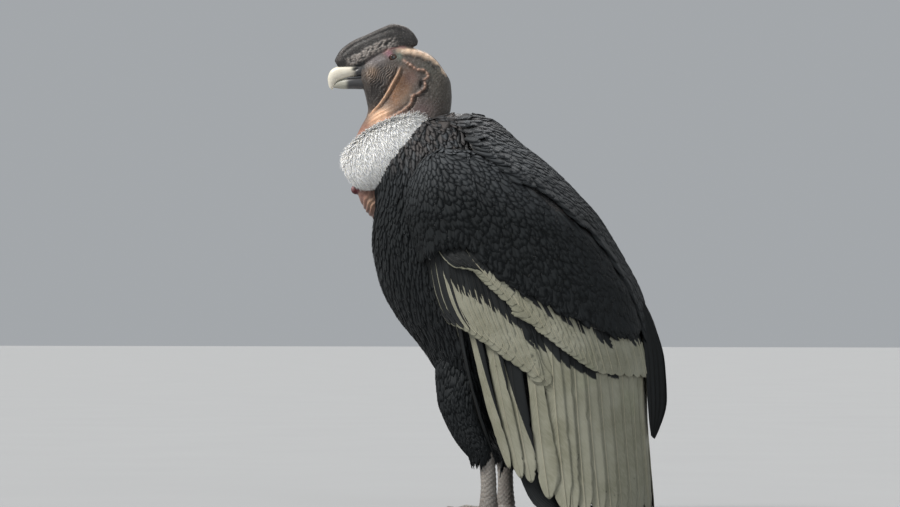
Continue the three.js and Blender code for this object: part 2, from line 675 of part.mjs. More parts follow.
// A vane on the wing from root by knee to tip, all as seen. Its rear web leans in, under the next feather.
function wingVane({ root, knee, tip, width, lift, lean = 0.11, dip = 0, sink = 0 }, grow = 0) {
  const spot = (t) => {
    const [x, z] = [0, 1].map((k) => (1 - t) ** 2 * root[k] + 2 * t * (1 - t) * knee[k] + t * t * tip[k]);
    return { angle: wingSurface.seen(x, z), z };
  };
  return blade(
    VANE_RUN.map((share, i) => {
      const t = share + (i === VANE_RUN.length - 1 ? 0.04 * grow : 0);
      const { angle, z } = spot(t);
      const before = spot(Math.max(0, t - 0.02));
      const after = spot(Math.min(1, t + 0.02));
      const behind = wingSurface.at(before.angle, before.z);
      const run = wingSurface.at(after.angle, after.z).sub(behind).normalize();
      const out = wingSurface.normal(angle, z);
      const across = out.clone().cross(run).normalize();
      const round = wingSurface.at(angle + 0.01, z).sub(wingSurface.at(angle - 0.01, z)).divideScalar(0.02);
      const rise = wingSurface.at(angle, z + 1).sub(wingSurface.at(angle, z - 1)).divideScalar(2);
      const [a, b, c] = [round.dot(round), round.dot(rise), rise.dot(rise)];
      const [d, e] = [across.dot(round), across.dot(rise)];
      const det = a * c - b * b;
      const perAngle = (d * c - e * b) / det;
      const perRise = (e * a - d * b) / det;
      const half = (width / 2) * VANE_WIDTH[i] + grow;
      const outs = [];
      const points = [-half, 0, half].map((step) => {
        const [angleThere, zThere] = [angle + perAngle * step, z + perRise * step];
        outs.push(wingSurface.normal(angleThere, zThere));
        return wingSurface.at(angleThere, zThere, lift - dip * t - sink * (1 - t) ** 2 + lean * step);
      });
      return { points, outs };
    }),
    grow,
  );
}
// Feather tips, roots and knees along the wing, each a smooth line through a few named spots.
function tier(count, spots, make) {
  const keys = spots.map((_, i) => i / (spots.length - 1));
  const line = (name, k) => curve(keys, spots.map((spot) => spot[name][k]));
  const lines = ["root", "knee", "tip"].map((name) => [line(name, 0), line(name, 1)]);
  const vanes = [];
  for (let i = 0; i < count; i += 1) {
    const s = i / (count - 1);
    const [root, knee, tip] = lines.map(([x, z]) => [x(s), z(s)]);
    vanes.push(make({ root, knee, tip }, s, i));
  }
  return vanes;
}

// Greater coverts: short, steeply curved at the front, straight down at the rear.
const COVERTS = [
  { root: [-117, 480], knee: [-101.5, 445.5], tip: [-69, 430] },
  { root: [-93, 497], knee: [-72, 449], tip: [-38, 423] },
  { root: [-51.5, 473], knee: [-27.5, 425], tip: [0, 385.5] },
  { root: [8.5, 428.5], knee: [34.5, 376.5], tip: [63.5, 330] },
  { root: [74, 390.5], knee: [96.5, 335.5], tip: [120.5, 284] },
  { root: [151.5, 352.5], knee: [165, 296], tip: [177, 249.5] },
  { root: [220, 352.5], knee: [234, 296], tip: [242.5, 242.5] },
];
// Outer coverts: a second row below and in front of the first.
const OUTER_COVERTS = [
  { root: [-136, 476.5], knee: [-132.5, 359.5], tip: [-93, 333.5] },
  { root: [-101.5, 497], knee: [-86, 345.5], tip: [-44.5, 315] },
  { root: [-55, 483.5], knee: [-27.5, 313], tip: [7, 282] },
  { root: [7, 431.5], knee: [38, 277], tip: [69, 235.5] },
];
// Arm flight feathers.
const ARM_FEATHERS = [
  { root: [-103, 466], knee: [-82.5, 249.5], tip: [-24, 103] },
  { root: [-58.5, 459], knee: [-31, 227], tip: [17, 77.5] },
  { root: [10.5, 401], knee: [27.5, 201], tip: [65.5, 57] },
  { root: [96.5, 344], knee: [105, 167], tip: [124, 17] },
  { root: [172, 308], knee: [182.5, 149.5], tip: [196, 14] },
  { root: [247.5, 296], knee: [251, 149.5], tip: [261.5, 15.5] },
];
const coverts = (grow = 0) =>
  tier(10, COVERTS, (lie, s, i) => {
    const width = mix(28, 54, ease(s / 0.4)) + vary(i, 2);
    return wingVane({ ...lie, width, lift: -2.4, sink: 9 }, grow);
  });
const outerCoverts = (grow = 0) =>
  tier(6, OUTER_COVERTS, (lie, s, i) => {
    const width = 43 + vary(i, 2);
    return wingVane({ ...lie, width, lift: -6.6, sink: 4 }, grow);
  });
const armForm = (grow = 0) => union([armSlab(grow), ...coverts(grow), ...outerCoverts(grow)]);
const bodyClear = union([downClear, mantleClear]);
const arm = armForm().subtract(bodyClear).trimByPlane([0, -1, 0], GAP / 2);
pair("wing", arm, 0x23272b, 0.75);

// Arm flight feathers, from a narrow band of flesh that meets the arm's lower edge.
const bandAngle = (s) => mix(FRONT_ANGLE, REAR_ANGLE, s);
const band = (grow = 0) =>
  slab({
    angle: (s) => bandAngle(s) + (1 - 2 * s) * (grow / 60),
    top: (s) => armLow(() => bandAngle(s)) + 1 + grow,
    bottom: (s) => armLow(() => bandAngle(s)) - 45 - grow,
    outer: () => -10.6 + grow,
    inner: () => -17.5 - grow,
    columns: 9,
    rows: 1,
  });
const armFeathers = (grow = 0) =>
  tier(11, ARM_FEATHERS, (lie, s) => {
    const width = mix(46, 62, ease(s / 0.5));
    return wingVane({ ...lie, width, lift: -13.6, dip: 1, lean: mix(0.13, 0.085, s) }, grow);
  });
const armClear = armForm(GAP);
const secondaries = union([band(), ...armFeathers()]);
const secondariesClear = union([band(GAP), ...armFeathers(GAP)]);
const aboveSecondaries = union([armClear, arm, shank(GAP), bodyClear]);
pair("secondaries", secondaries.subtract(aboveSecondaries), 0x8b8b7c, 0.8);

// Laid feathers: each follows a line of stations, side by side and stacked, with its own width.
function laidVane(stations, side, stack, widths, inner = 1000, grow = 0) {
  return blade(
    stations.map(({ p, across, out, spread, pile }, i) => {
      const centre = p.clone().addScaledVector(across, side * spread).addScaledVector(out, stack * pile);
      const near = Math.min(widths[i], inner) + grow;
      const far = widths[i] + grow;
      const reach = side < 0 ? [-far, 0, near] : [-near, 0, far];
      const points = reach.map((step) => centre.clone().addScaledVector(across, step));
      return { points, outs: [out, out, out] };
    }),
    grow,
  );
}

// Hand feathers: they come from under the arm feathers, run down and back, and are laid along the floor.
const HAND_LINE = [[-103, 428.5], [-14, 204.5], [43, 91], [103, 14], [182.5, 1.5], [371.5, 1.5]];
const HAND_DEPTH = [-27, -30, -30]; // below the wing surface, for as long as they lie under it
const HAND_SIDE = [0, 0, 0, 88, 88, 98]; // then the distance from the middle plane
const HAND_TWIST = [0, 0, 0.15, 0.8, 1, 1]; // from facing out to facing up
const HAND_SPREAD = [0.4, 0.5, 0.6, 0.8, 1.05, 1.6];
const HAND_PILE = [0.85, 0.85, 1, 1.3, 1, 1];
const HAND_WIDTH = [11, 18, 18, 16, 14, 3];
function handStations() {
  const spine = HAND_LINE.map(([x, z], i) => {
    const y = -HAND_SIDE[i];
    if (y) return vec((x - y * Math.sin(VIEW_TURN)) / Math.cos(VIEW_TURN), y, z);
    const angle = wingSurface.seen(x, z);
    const level = wingSurface.normal(angle, z).setZ(0).normalize();
    return wingSurface.at(angle, z).addScaledVector(level, HAND_DEPTH[i]);
  });
  return spine.map((p, i) => {
    const run = spine[Math.min(i + 1, spine.length - 1)].clone().sub(spine[Math.max(i - 1, 0)]).normalize();
    const [x, z] = HAND_LINE[i];
    const face = wingSurface.normal(wingSurface.seen(x, z), z).lerp(vec(0, 0, 1), HAND_TWIST[i]);
    const across = run.clone().cross(face).normalize();
    const out = across.clone().cross(run).normalize();
    return { p, across, out, spread: HAND_SPREAD[i], pile: HAND_PILE[i] };
  });
}
const HAND_COUNT = 4;
// A block of flesh round the roots of a stack of laid feathers, for a share of their first stretch.
const ROOT_START = -0.03;
function rootBlock([from, to], length, halfWidth, low, high) {
  return loft(
    [ROOT_START, length].map((share) => {
      const corner = (k, lift) => {
        const p = from.p.clone().lerp(to.p, share);
        return p.addScaledVector(from.across, k * halfWidth).addScaledVector(from.out, lift);
      };
      return [corner(-1, high), corner(1, high), corner(1, low), corner(-1, low)];
    }),
  );
}
const handLine = handStations();
const handVanes = [];
for (let i = 0; i < HAND_COUNT; i += 1) {
  const k = i - (HAND_COUNT - 1) / 2;
  handVanes.push(laidVane(handLine, 6 * k, STACK * (HAND_COUNT - 1 - i), HAND_WIDTH));
}
const handRoot = rootBlock(handLine, 0.3, 20, -1.5, STACK * (HAND_COUNT - 1) + 1.5);
const primaries = union([handRoot, ...handVanes]);
pair("primaries", primaries.subtract(bodyClear).subtract(armClear).subtract(secondariesClear), 0x1a1d1f, 0.8);

// Tail: feathers that hang from the rump and are laid along the floor, the middle pair on top.
const TAIL_LINE = [[103, 227], [158, 122], [203, 24], [242.5, 3], [395.5, 1], [419.5, 1]];
const TAIL_WIDTH = [14, 21, 25, 25, 22, 5];
const TAIL_SPREAD = [0.7, 0.8, 1, 1, 1, 1];
const TAIL_HALF = 5; // feathers on either side
const TAIL_FIRST = 4;
const TAIL_STEP = 8;
function tailStations() {
  const spine = TAIL_LINE.map(([x, z]) => vec(x, 0, z));
  return spine.map((p, i) => {
    const run = spine[Math.min(i + 1, spine.length - 1)].clone().sub(spine[Math.max(i - 1, 0)]).normalize();
    const across = vec(0, 1, 0);
    return { p, across, out: run.clone().cross(across).normalize(), spread: TAIL_SPREAD[i], pile: 1 };
  });
}
const tailLine = tailStations();
const tailVanes = [];
for (const side of SIDES) {
  for (let i = 0; i < TAIL_HALF; i += 1) {
    const offset = TAIL_FIRST + TAIL_STEP * i;
    const height = STACK * (TAIL_HALF - 1 - i);
    tailVanes.push(laidVane(tailLine, side * offset, height, TAIL_WIDTH, 0.7 * offset - 0.4));
  }
}
const tailRoot = rootBlock(tailLine, 0.92, 53, -1.5, (TAIL_HALF - 1) * STACK + 1.5);
add("tail", union([tailRoot, ...tailVanes]).subtract(trunkClear), 0x1a1d1f, 0.8);

// Legs: feathered thigh, bare shank, foot with three toes in front and one behind, each with a claw.
const THIGH = [
  [[-14, 364.5], 58, 22, 22],
  [[-31, 311.5], 60, 42, 32],
  [[-44.5, 261.5], 64, 50, 36],
  [[-43, 204.5], 68, 40, 34],
  [[-36, 160], 71, 31, 28],
  [[-24, 124], 74, 26, 24],
  [[-15.5, 98], 76, 20, 18],
];
const thigh = () => loft(THIGH.map(([[x, z], side, deep, wide]) => legRing(x, -side, z, deep, wide, 12)));
const legClear = trunkClear.add(armClear).add(secondariesClear);
pair("thigh", thigh().subtract(legClear).subtract(shank(GAP)), 0x1b1e20, 0.8);
pair("shank", shank(), 0x8f8a84, 0.7);
const FOOT = { x: -5 };
const TOE_STEPS = 4;
function toe(angle, length, thick) {
  const dir = vec(-Math.cos(angle), -Math.sin(angle), 0);
  const side = vec(-dir.y, dir.x, 0);
  const base = vec(FOOT.x, -LEG_Y, 0);
  const rings = [];
  for (let i = 0; i <= TOE_STEPS; i += 1) {
    const t = i / TOE_STEPS;
    const knuckle = 1 + 0.1 * Math.cos(t * Math.PI * TOE_STEPS);
    const half = thick * mix(1.05, 0.72, t) * knuckle;
    const centre = base.clone().addScaledVector(dir, length * t);
    centre.z = half + SOLE;
    rings.push(ring(centre, side.clone().multiplyScalar(half), vec(0, 0, half), 8, 2.6));
  }
  return loft(rings);
}
const TOES = [
  { name: "inner", angle: -0.52, length: 76, thick: 9 },
  { name: "middle", angle: 0, length: 104, thick: 10 },
  { name: "outer", angle: 0.52, length: 78, thick: 9 },
  { name: "hind", angle: Math.PI, length: 42, thick: 8 },
];
const PAD = [
  [0.1, 16],
  [6, 19],
  [14, 18],
  [20, 15],
]; // height and radius
const pad = loft(PAD.map(([z, radius]) => legRing(FOOT.x, -LEG_Y, z, radius, radius, 10)));
const foot = union([pad, ...TOES.map(({ angle, length, thick }) => toe(angle, length, thick))]);
pair("foot", foot.subtract(shank(GAP)), 0x85807a, 0.7);
const CLAW_STEPS = 3;
const CLAW_LONG = 18;
function claw({ angle, length, thick }, grow = 0) {
  const dir = vec(-Math.cos(angle), -Math.sin(angle), 0);
  const side = vec(-dir.y, dir.x, 0);
  const base = vec(FOOT.x, -LEG_Y, 0);
  const rings = [];
  for (let i = 0; i <= CLAW_STEPS; i += 1) {
    const t = i / CLAW_STEPS;
    const half = mix(thick * 0.5, 0.9, t) + grow;
    const centre = base.clone().addScaledVector(dir, length - 4 + CLAW_LONG * t);
    centre.z = mix(thick * 0.95, 1.5, t * t) + SOLE;
    rings.push(ring(centre, side.clone().multiplyScalar(half), vec(0, 0, half), 6));
  }
  return loft(rings);
}
for (const t of TOES) {
  for (const side of ["left", "right"]) {
    const place = (shape) => (side === "left" ? shape : mirrored(shape));
    const owner = made.find((piece) => piece.name === "foot_" + side);
    owner.shape = largest(owner.shape.subtract(place(claw(t, GAP))));
    add("claw_" + t.name + "_" + side, place(claw(t)), 0x2e2a27, 0.4);
  }
}

// The origin lies at floor level in the middle of the whole bird's box.
const boxes = made.map(({ shape }) => shape.boundingBox());
const low = [0, 1, 2].map((k) => Math.min(...boxes.map((box) => box.min[k])));
const high = [0, 1, 2].map((k) => Math.max(...boxes.map((box) => box.max[k])));
const shift = [-(low[0] + high[0]) / 2, -(low[1] + high[1]) / 2, -low[2]];

for (const { name, shape, color, roughness } of made) {
  const mesh = shape.translate(shift).getMesh();
  const g = new THREE.BufferGeometry();
  const n = mesh.numProp;
  const at = [];
  for (let i = 0; i < mesh.vertProperties.length; i += n) at.push(...mesh.vertProperties.subarray(i, i + 3));
  g.setAttribute("position", new THREE.Float32BufferAttribute(at, 3));
  g.setIndex(Array.from(mesh.triVerts));
  const flat = g.toNonIndexed();
  flat.computeVertexNormals();
  const piece = new THREE.Mesh(flat, new THREE.MeshStandardMaterial({ color, roughness, metalness: 0 }));
  piece.name = name;
  parts.add(piece);
}

export default parts;
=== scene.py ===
"""A full-grown male Andean condor standing still with folded wings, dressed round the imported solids.

Shapes are given by what is seen in a picture of 900 x 507 from the bird's left, a little from behind:
U and V turn its columns and rows into millimetres, P turns both. The bird faces -X, its left is -Y, up is +Z.
"""

import math

import bpy
import numpy as np
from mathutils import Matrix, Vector


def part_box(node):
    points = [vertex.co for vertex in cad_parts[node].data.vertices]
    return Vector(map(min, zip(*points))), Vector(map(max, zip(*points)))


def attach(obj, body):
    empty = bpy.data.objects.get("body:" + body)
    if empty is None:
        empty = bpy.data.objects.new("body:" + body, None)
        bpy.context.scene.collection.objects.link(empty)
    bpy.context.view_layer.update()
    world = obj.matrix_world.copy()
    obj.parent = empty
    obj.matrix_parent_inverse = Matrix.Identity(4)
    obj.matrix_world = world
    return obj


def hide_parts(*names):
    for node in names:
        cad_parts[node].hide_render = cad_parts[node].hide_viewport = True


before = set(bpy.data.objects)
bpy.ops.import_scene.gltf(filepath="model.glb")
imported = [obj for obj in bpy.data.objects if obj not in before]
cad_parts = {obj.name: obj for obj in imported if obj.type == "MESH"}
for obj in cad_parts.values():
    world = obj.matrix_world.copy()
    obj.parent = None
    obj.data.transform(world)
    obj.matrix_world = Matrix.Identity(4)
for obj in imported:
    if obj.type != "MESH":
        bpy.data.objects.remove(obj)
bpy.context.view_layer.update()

PIXEL = 1.72
ZERO_U = 500
ZERO_V = 517
WIDE, HIGH = 900, 507
FULL = 2 * math.pi
# The camera stands this far round from the bird's side, towards its tail.
TURN = math.radians(12)
COS, SIN = math.cos(TURN), math.sin(TURN)
UP = np.array([0, 0, 1.0])
rng = np.random.default_rng(7)


def U(u):
    return (np.asarray(u, float) - ZERO_U) * PIXEL


def V(v):
    return (ZERO_V - np.asarray(v, float)) * PIXEL


def P(u, v):
    return (float(U(u)), float(V(v)))


def ease(x):
    x = np.clip(x, 0, 1)
    return x * x * (3 - 2 * x)


def mix(a, b, t):
    return a + (b - a) * t


def unit(v):
    return v / np.maximum(np.linalg.norm(v, axis=-1, keepdims=True), 1e-9)


def spline(keys, values):
    """A smooth line through the values at rising keys, level beyond its ends."""
    keys, values = np.array(keys, float), np.array(values, float)
    h = np.diff(keys)
    d = np.diff(values) / h
    slope = np.zeros_like(values)
    a, b = d[:-1], d[1:]
    same = a * b > 0
    slope[1:-1][same] = 2 * a[same] * b[same] / (a[same] + b[same])

    def at(x):
        x = np.clip(np.asarray(x, float), keys[0], keys[-1])
        i = np.clip(np.searchsorted(keys, x) - 1, 0, len(keys) - 2)
        t = (x - keys[i]) / h[i]
        rise = t * t * (3 - 2 * t)
        lead = t * (1 - t) ** 2 * h[i] * slope[i]
        trail = t * t * (t - 1) * h[i] * slope[i + 1]
        return values[i] + (values[i + 1] - values[i]) * rise + lead + trail

    return at


def shares(items):
    """Keys from 0 to 1, one for each item."""
    return np.arange(len(items)) / (len(items) - 1)


def through(values, t):
    """The smooth line through evenly keyed values, at t."""
    return spline(shares(values), values)(t)


def circle(count, start=0.0):
    return (np.arange(count) + start) / count * FULL


# The head and neck turn towards the camera, less and less towards the neck's base, so they show in profile.
NECK_PIVOT = float(U(405))
NECK_TOP, NECK_BASE = V(105), V(165)


def turned(p):
    p = np.array(p, float)
    angle = TURN * ease((p[..., 2] - NECK_BASE) / (NECK_TOP - NECK_BASE))
    dx, dy = p[..., 0] - NECK_PIVOT, p[..., 1].copy()
    p[..., 0] = NECK_PIVOT + dx * np.cos(angle) - dy * np.sin(angle)
    p[..., 1] = dx * np.sin(angle) + dy * np.cos(angle)
    return p


def middle(node):
    """Middle of a node's box, in millimetres."""
    low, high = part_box(node)
    return (np.array(low) + np.array(high)) * 500


# The frame's origin lies in the middle of the whole box. The eyes tell how far that is from U's zero.
EYE_AT = (391, 57.5)
EYE_SPOT = P(*EYE_AT)
SHIFT = (middle("eye_left") + middle("eye_right")) / 2 - turned([EYE_SPOT[0], 0, EYE_SPOT[1]])


def place(p):
    """Millimetres of the outlines to metres of the frame."""
    return (np.asarray(p, float) + SHIFT) / 1000


def mirror(rings):
    """The same rings on the other side of the bird, still turned outwards."""
    rings = rings.copy()
    rings[..., 1] *= -1
    return rings[:, :, ::-1]


class Girth:
    """A body of upright girths: its outline as seen and its half width, at each height."""

    def __init__(self, height, front, back, wide, powers):
        self.z = np.linspace(height[0], height[-1], 1500)
        front, back, self.wide = (spline(height, line)(self.z) for line in (front, back, wide))
        self.middle = (front + back) / 2 / COS
        self.powers = powers
        self.depths = []
        for power in powers:
            q = power / (power - 1)
            depth = np.maximum(((back - front) / 2) ** q - (self.wide * SIN) ** q, 1) ** (1 / q) / COS
            self.depths.append(depth)

    def flat(self, angle, z):
        """A point of the surface: angle 0 behind, a right angle on the near side."""
        angle, z = np.broadcast_arrays(np.asarray(angle, float), np.asarray(z, float))
        cos, sin = np.cos(angle), np.sin(angle)
        rear = cos >= 0
        share = np.where(rear, 2 / self.powers[0], 2 / self.powers[1])
        depth = np.where(rear, np.interp(z, self.z, self.depths[0]), np.interp(z, self.z, self.depths[1]))
        x = np.interp(z, self.z, self.middle) + depth * np.sign(cos) * np.abs(cos) ** share
        y = -np.interp(z, self.z, self.wide) * np.sign(sin) * np.abs(sin) ** share
        return np.stack([x, y, z], -1)

    def slopes(self, angle, z):
        """Millimetres travelled for a unit of angle and of height."""
        around = (self.flat(angle + 0.02, z) - self.flat(angle - 0.02, z)) / 0.04
        rise = (self.flat(angle, z + 1) - self.flat(angle, z - 1)) / 2
        return around, rise

    def normal(self, angle, z):
        around, rise = self.slopes(angle, z)
        return unit(np.cross(rise, around))

    def at(self, angle, z, lift=0.0):
        return self.flat(angle, z) + self.normal(angle, z) * np.asarray(lift, float)[..., None]

    def solve(self, angle, z, way):
        """The change of angle and height that moves a point by the vector, along the surface."""
        around, rise = self.slopes(angle, z)
        a, b, c = (around * around).sum(-1), (around * rise).sum(-1), (rise * rise).sum(-1)
        d, e = (way * around).sum(-1), (way * rise).sum(-1)
        det = np.maximum(a * c - b * b, 1e-6)
        return (d * c - e * b) / det, (e * a - d * b) / det

    def view(self, angle, z):
        p = self.flat(angle, z)
        return p[..., 0] * COS + p[..., 1] * SIN

    def seen(self, x, z):
        """The angle of the near-side point seen at x."""
        x, z = np.broadcast_arrays(np.asarray(x, float), np.asarray(z, float))
        rear, fore = np.full(x.shape, -0.1), np.full(x.shape, math.pi - 0.1)
        for _ in range(30):
            half = (rear + fore) / 2
            behind = self.view(half, z) > x
            rear, fore = np.where(behind, half, rear), np.where(behind, fore, half)
        return (rear + fore) / 2


trunk = Girth(
    height=V([455, 440, 420, 398, 369, 343, 317, 281, 240, 200, 165, 145, 130, 120, 113.5]),
    front=U([500, 482, 470, 456, 436, 418, 397, 379, 372, 375, 371, 378, 395, 415, 440]),
    back=U([560, 575, 590, 603, 618, 626, 628, 618, 598, 572, 542, 522, 504, 488, 472]),
    wide=[30, 58, 76, 90, 104, 114, 122, 127, 128, 123, 108, 90, 72, 52, 28],
    powers=[2.1, 2],
)
wings = Girth(
    height=V([517, 460, 420, 380, 340, 300, 260, 235, 215, 197, 177, 160, 143, 130, 120, 113]),
    front=U([496, 484, 470, 459, 446, 427, 415, 409, 404, 405, 410, 417, 434, 440, 446, 455]),
    back=U([659, 655, 652, 651, 650, 643, 624, 610, 597, 581, 562, 543, 521, 507, 494, 476]),
    wide=[126, 133, 141, 149, 156, 162, 166, 166, 164, 158, 147, 132, 108, 86, 62, 34],
    powers=[2.2, 3],
)


def show(name, mesh, material, replaces):
    ob = bpy.data.objects.new(name, mesh)
    bpy.context.scene.collection.objects.link(ob)
    mesh.materials.append(material)
    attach(ob, "root")
    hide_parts(*replaces)


class Heap:
    """Gathers closed grids of points into one mesh, with their maps and marks."""

    def __init__(self):
        self.points, self.faces, self.maps, self.marks, self.bakes = [], [], [], [], []
        self.count = 0

    def blades(self, rings, lie, mark, bake):
        """rings: (n, stations, around, 3); lie, bake: the same with 2; mark: (n, 4), or like the rings."""
        n, k, m, _ = rings.shape
        base = np.arange(n)[:, None, None] * (k * m) + np.arange(k - 1)[None, :, None] * m
        j = np.arange(m)[None, None, :]
        nxt = (j + 1) % m
        parts = [np.stack([base + j, base + nxt, base + m + nxt, base + m + j], -1).reshape(-1, 4)]
        for row, turn in ((0, -1), (k - 1, 1)):
            for a in range(m // 2 - 1):
                cap = [a, a + 1, m - 2 - a, m - 1 - a][::turn]
                parts.append(np.arange(n)[:, None] * (k * m) + row * m + np.array(cap)[None, :])
        mark = np.asarray(mark, float)
        if mark.ndim == 2:
            mark = mark[:, None, None, :]
        self.points.append(rings.reshape(-1, 3))
        self.faces.append(np.concatenate(parts) + self.count)
        self.maps.append(np.broadcast_to(lie, (n, k, m, 2)).reshape(-1, 2))
        self.bakes.append(np.broadcast_to(bake, (n, k, m, 2)).reshape(-1, 2))
        self.marks.append(np.broadcast_to(mark, (n, k, m, 4)).reshape(-1, 4))
        self.count += n * k * m

    def piece(self, name, material, replaces, slot):
        points = place(np.concatenate(self.points))
        faces = np.concatenate(self.faces)
        corners = faces.ravel()
        mesh = bpy.data.meshes.new(name)
        mesh.vertices.add(len(points))
        mesh.vertices.foreach_set("co", points.astype(np.float32).ravel())
        mesh.loops.add(faces.size)
        mesh.loops.foreach_set("vertex_index", corners.astype(np.int32))
        mesh.polygons.add(len(faces))
        mesh.polygons.foreach_set("loop_start", np.arange(0, faces.size, 4, dtype=np.int32))
        mesh.polygons.foreach_set("use_smooth", np.full(len(faces), True))
        for title, data in (("lie", self.maps), ("OFBake", self.bakes)):
            layer = mesh.uv_layers.new(name=title)
            layer.data.foreach_set("uv", np.concatenate(data)[corners].astype(np.float32).ravel())
        mark = mesh.attributes.new("mark", "FLOAT_COLOR", "POINT")
        mark.data.foreach_set("color", np.concatenate(self.marks).astype(np.float32).ravel())
        mesh.update(calc_edges=True)
        mesh.validate()
        show(name, mesh, material, replaces)


class Nodes:
    """A short way to write a material's nodes."""

    def __init__(self, name):
        self.material = bpy.data.materials.new(name)
        self.material.use_nodes = True
        self.tree = self.material.node_tree
        self.shader = self.tree.nodes["Principled BSDF"]

    def new(self, kind, **values):
        node = self.tree.nodes.new(kind)
        for key, value in values.items():
            setattr(node, key, value)
        return node

    def link(self, source, target):
        self.tree.links.new(source, target)

    def put(self, socket, value):
        if isinstance(value, bpy.types.NodeSocket):
            self.link(value, socket)
        elif hasattr(value, "__len__") and len(value) == 3 and socket.type == "RGBA":
            socket.default_value = (*value, 1)
        else:
            socket.default_value = value

    def math(self, kind, a, b=0.0):
        node = self.new("ShaderNodeMath", operation=kind)
        self.put(node.inputs[0], a)
        self.put(node.inputs[1], b)
        return node.outputs[0]

    def times(self, a, b):
        return self.math("MULTIPLY", a, b)

    def ramp(self, value, low, high, to_low=0.0, to_high=1.0):
        node = self.new("ShaderNodeMapRange", interpolation_type="SMOOTHSTEP")
        inputs = {"Value": value, "From Min": low, "From Max": high, "To Min": to_low, "To Max": to_high}
        for key, item in inputs.items():
            self.put(node.inputs[key], item)
        return node.outputs[0]

    def blend(self, share, a, b, mode="MIX"):
        node = self.new("ShaderNodeMix", data_type="RGBA", blend_type=mode)
        for i, value in ((0, share), (6, a), (7, b)):
            self.put(node.inputs[i], value)
        return node.outputs[2]

    def noise(self, scale, detail=3.0, rough=0.5, at=None, stretch=None):
        at = at or self.place()
        if stretch:
            mapping = self.new("ShaderNodeMapping")
            mapping.inputs["Scale"].default_value = stretch
            self.link(at, mapping.inputs["Vector"])
            at = mapping.outputs[0]
        node = self.new("ShaderNodeTexNoise")
        self.link(at, node.inputs["Vector"])
        for key, value in (("Scale", scale), ("Detail", detail), ("Roughness", rough)):
            node.inputs[key].default_value = value
        return node.outputs["Fac"]

    def place(self):
        return self.new("ShaderNodeTexCoord").outputs["Object"]

    def lie(self):
        return self.new("ShaderNodeUVMap", uv_map="lie").outputs[0]

    def lie_parts(self):
        """Across and along the piece's own map."""
        parts = self.new("ShaderNodeSeparateXYZ")
        self.link(self.lie(), parts.inputs[0])
        return parts.outputs[0], parts.outputs[1]

    def mark(self, name="mark"):
        node = self.new("ShaderNodeAttribute", attribute_name=name)
        parts = self.new("ShaderNodeSeparateColor")
        self.link(node.outputs["Color"], parts.inputs[0])
        return node.outputs["Color"], parts.outputs[0], parts.outputs[1], parts.outputs[2]

    def bump(self, height, strength, distance):
        node = self.new("ShaderNodeBump")
        node.inputs["Strength"].default_value = strength
        node.inputs["Distance"].default_value = distance
        self.link(height, node.inputs["Height"])
        self.link(node.outputs[0], self.shader.inputs["Normal"])

    def set(self, **values):
        for key, value in values.items():
            self.put(self.shader.inputs[key.replace("_", " ")], value)


def black_feather():
    """Small body feathers: slate black, each a little lighter towards its tip's edge; the paler slate and the
    lighter edge are both painted sheen, as strong as the light mark.
    """
    n = Nodes("black_feather")
    _, chance, light, brown = n.mark()
    side, run = n.lie_parts()
    across = n.math("ABSOLUTE", n.math("SUBTRACT", side, 0.5))
    rim = n.math("MAXIMUM", n.ramp(across, 0.3, 0.5), n.ramp(run, 0.75, 1.0))
    barbs = n.noise(1.0, 2.0, 0.6, n.lie(), (5, 46, 1))
    tone = n.math("ADD", n.times(chance, 0.5), n.times(barbs, 0.35))
    dark = n.blend(tone, (0.004, 0.0055, 0.0062), (0.011, 0.0135, 0.0148))
    # Painted sheen: where the light mark is high, the black turns a paler slate and its tip's edge lighter
    # still.
    slate = n.blend(tone, (0.034, 0.038, 0.042), (0.078, 0.085, 0.092))
    body = n.blend(light, dark, slate)
    body = n.blend(n.times(rim, n.times(light, 0.3)), body, (0.085, 0.088, 0.092))
    n.set(Base_Color=n.blend(n.times(brown, 0.8), body, (0.062, 0.052, 0.048)))
    n.set(Roughness=n.ramp(barbs, 0.3, 0.7, 0.56, 0.72), Specular_IOR_Level=0.2)
    n.bump(barbs, 0.25, 0.0005)
    return n.material


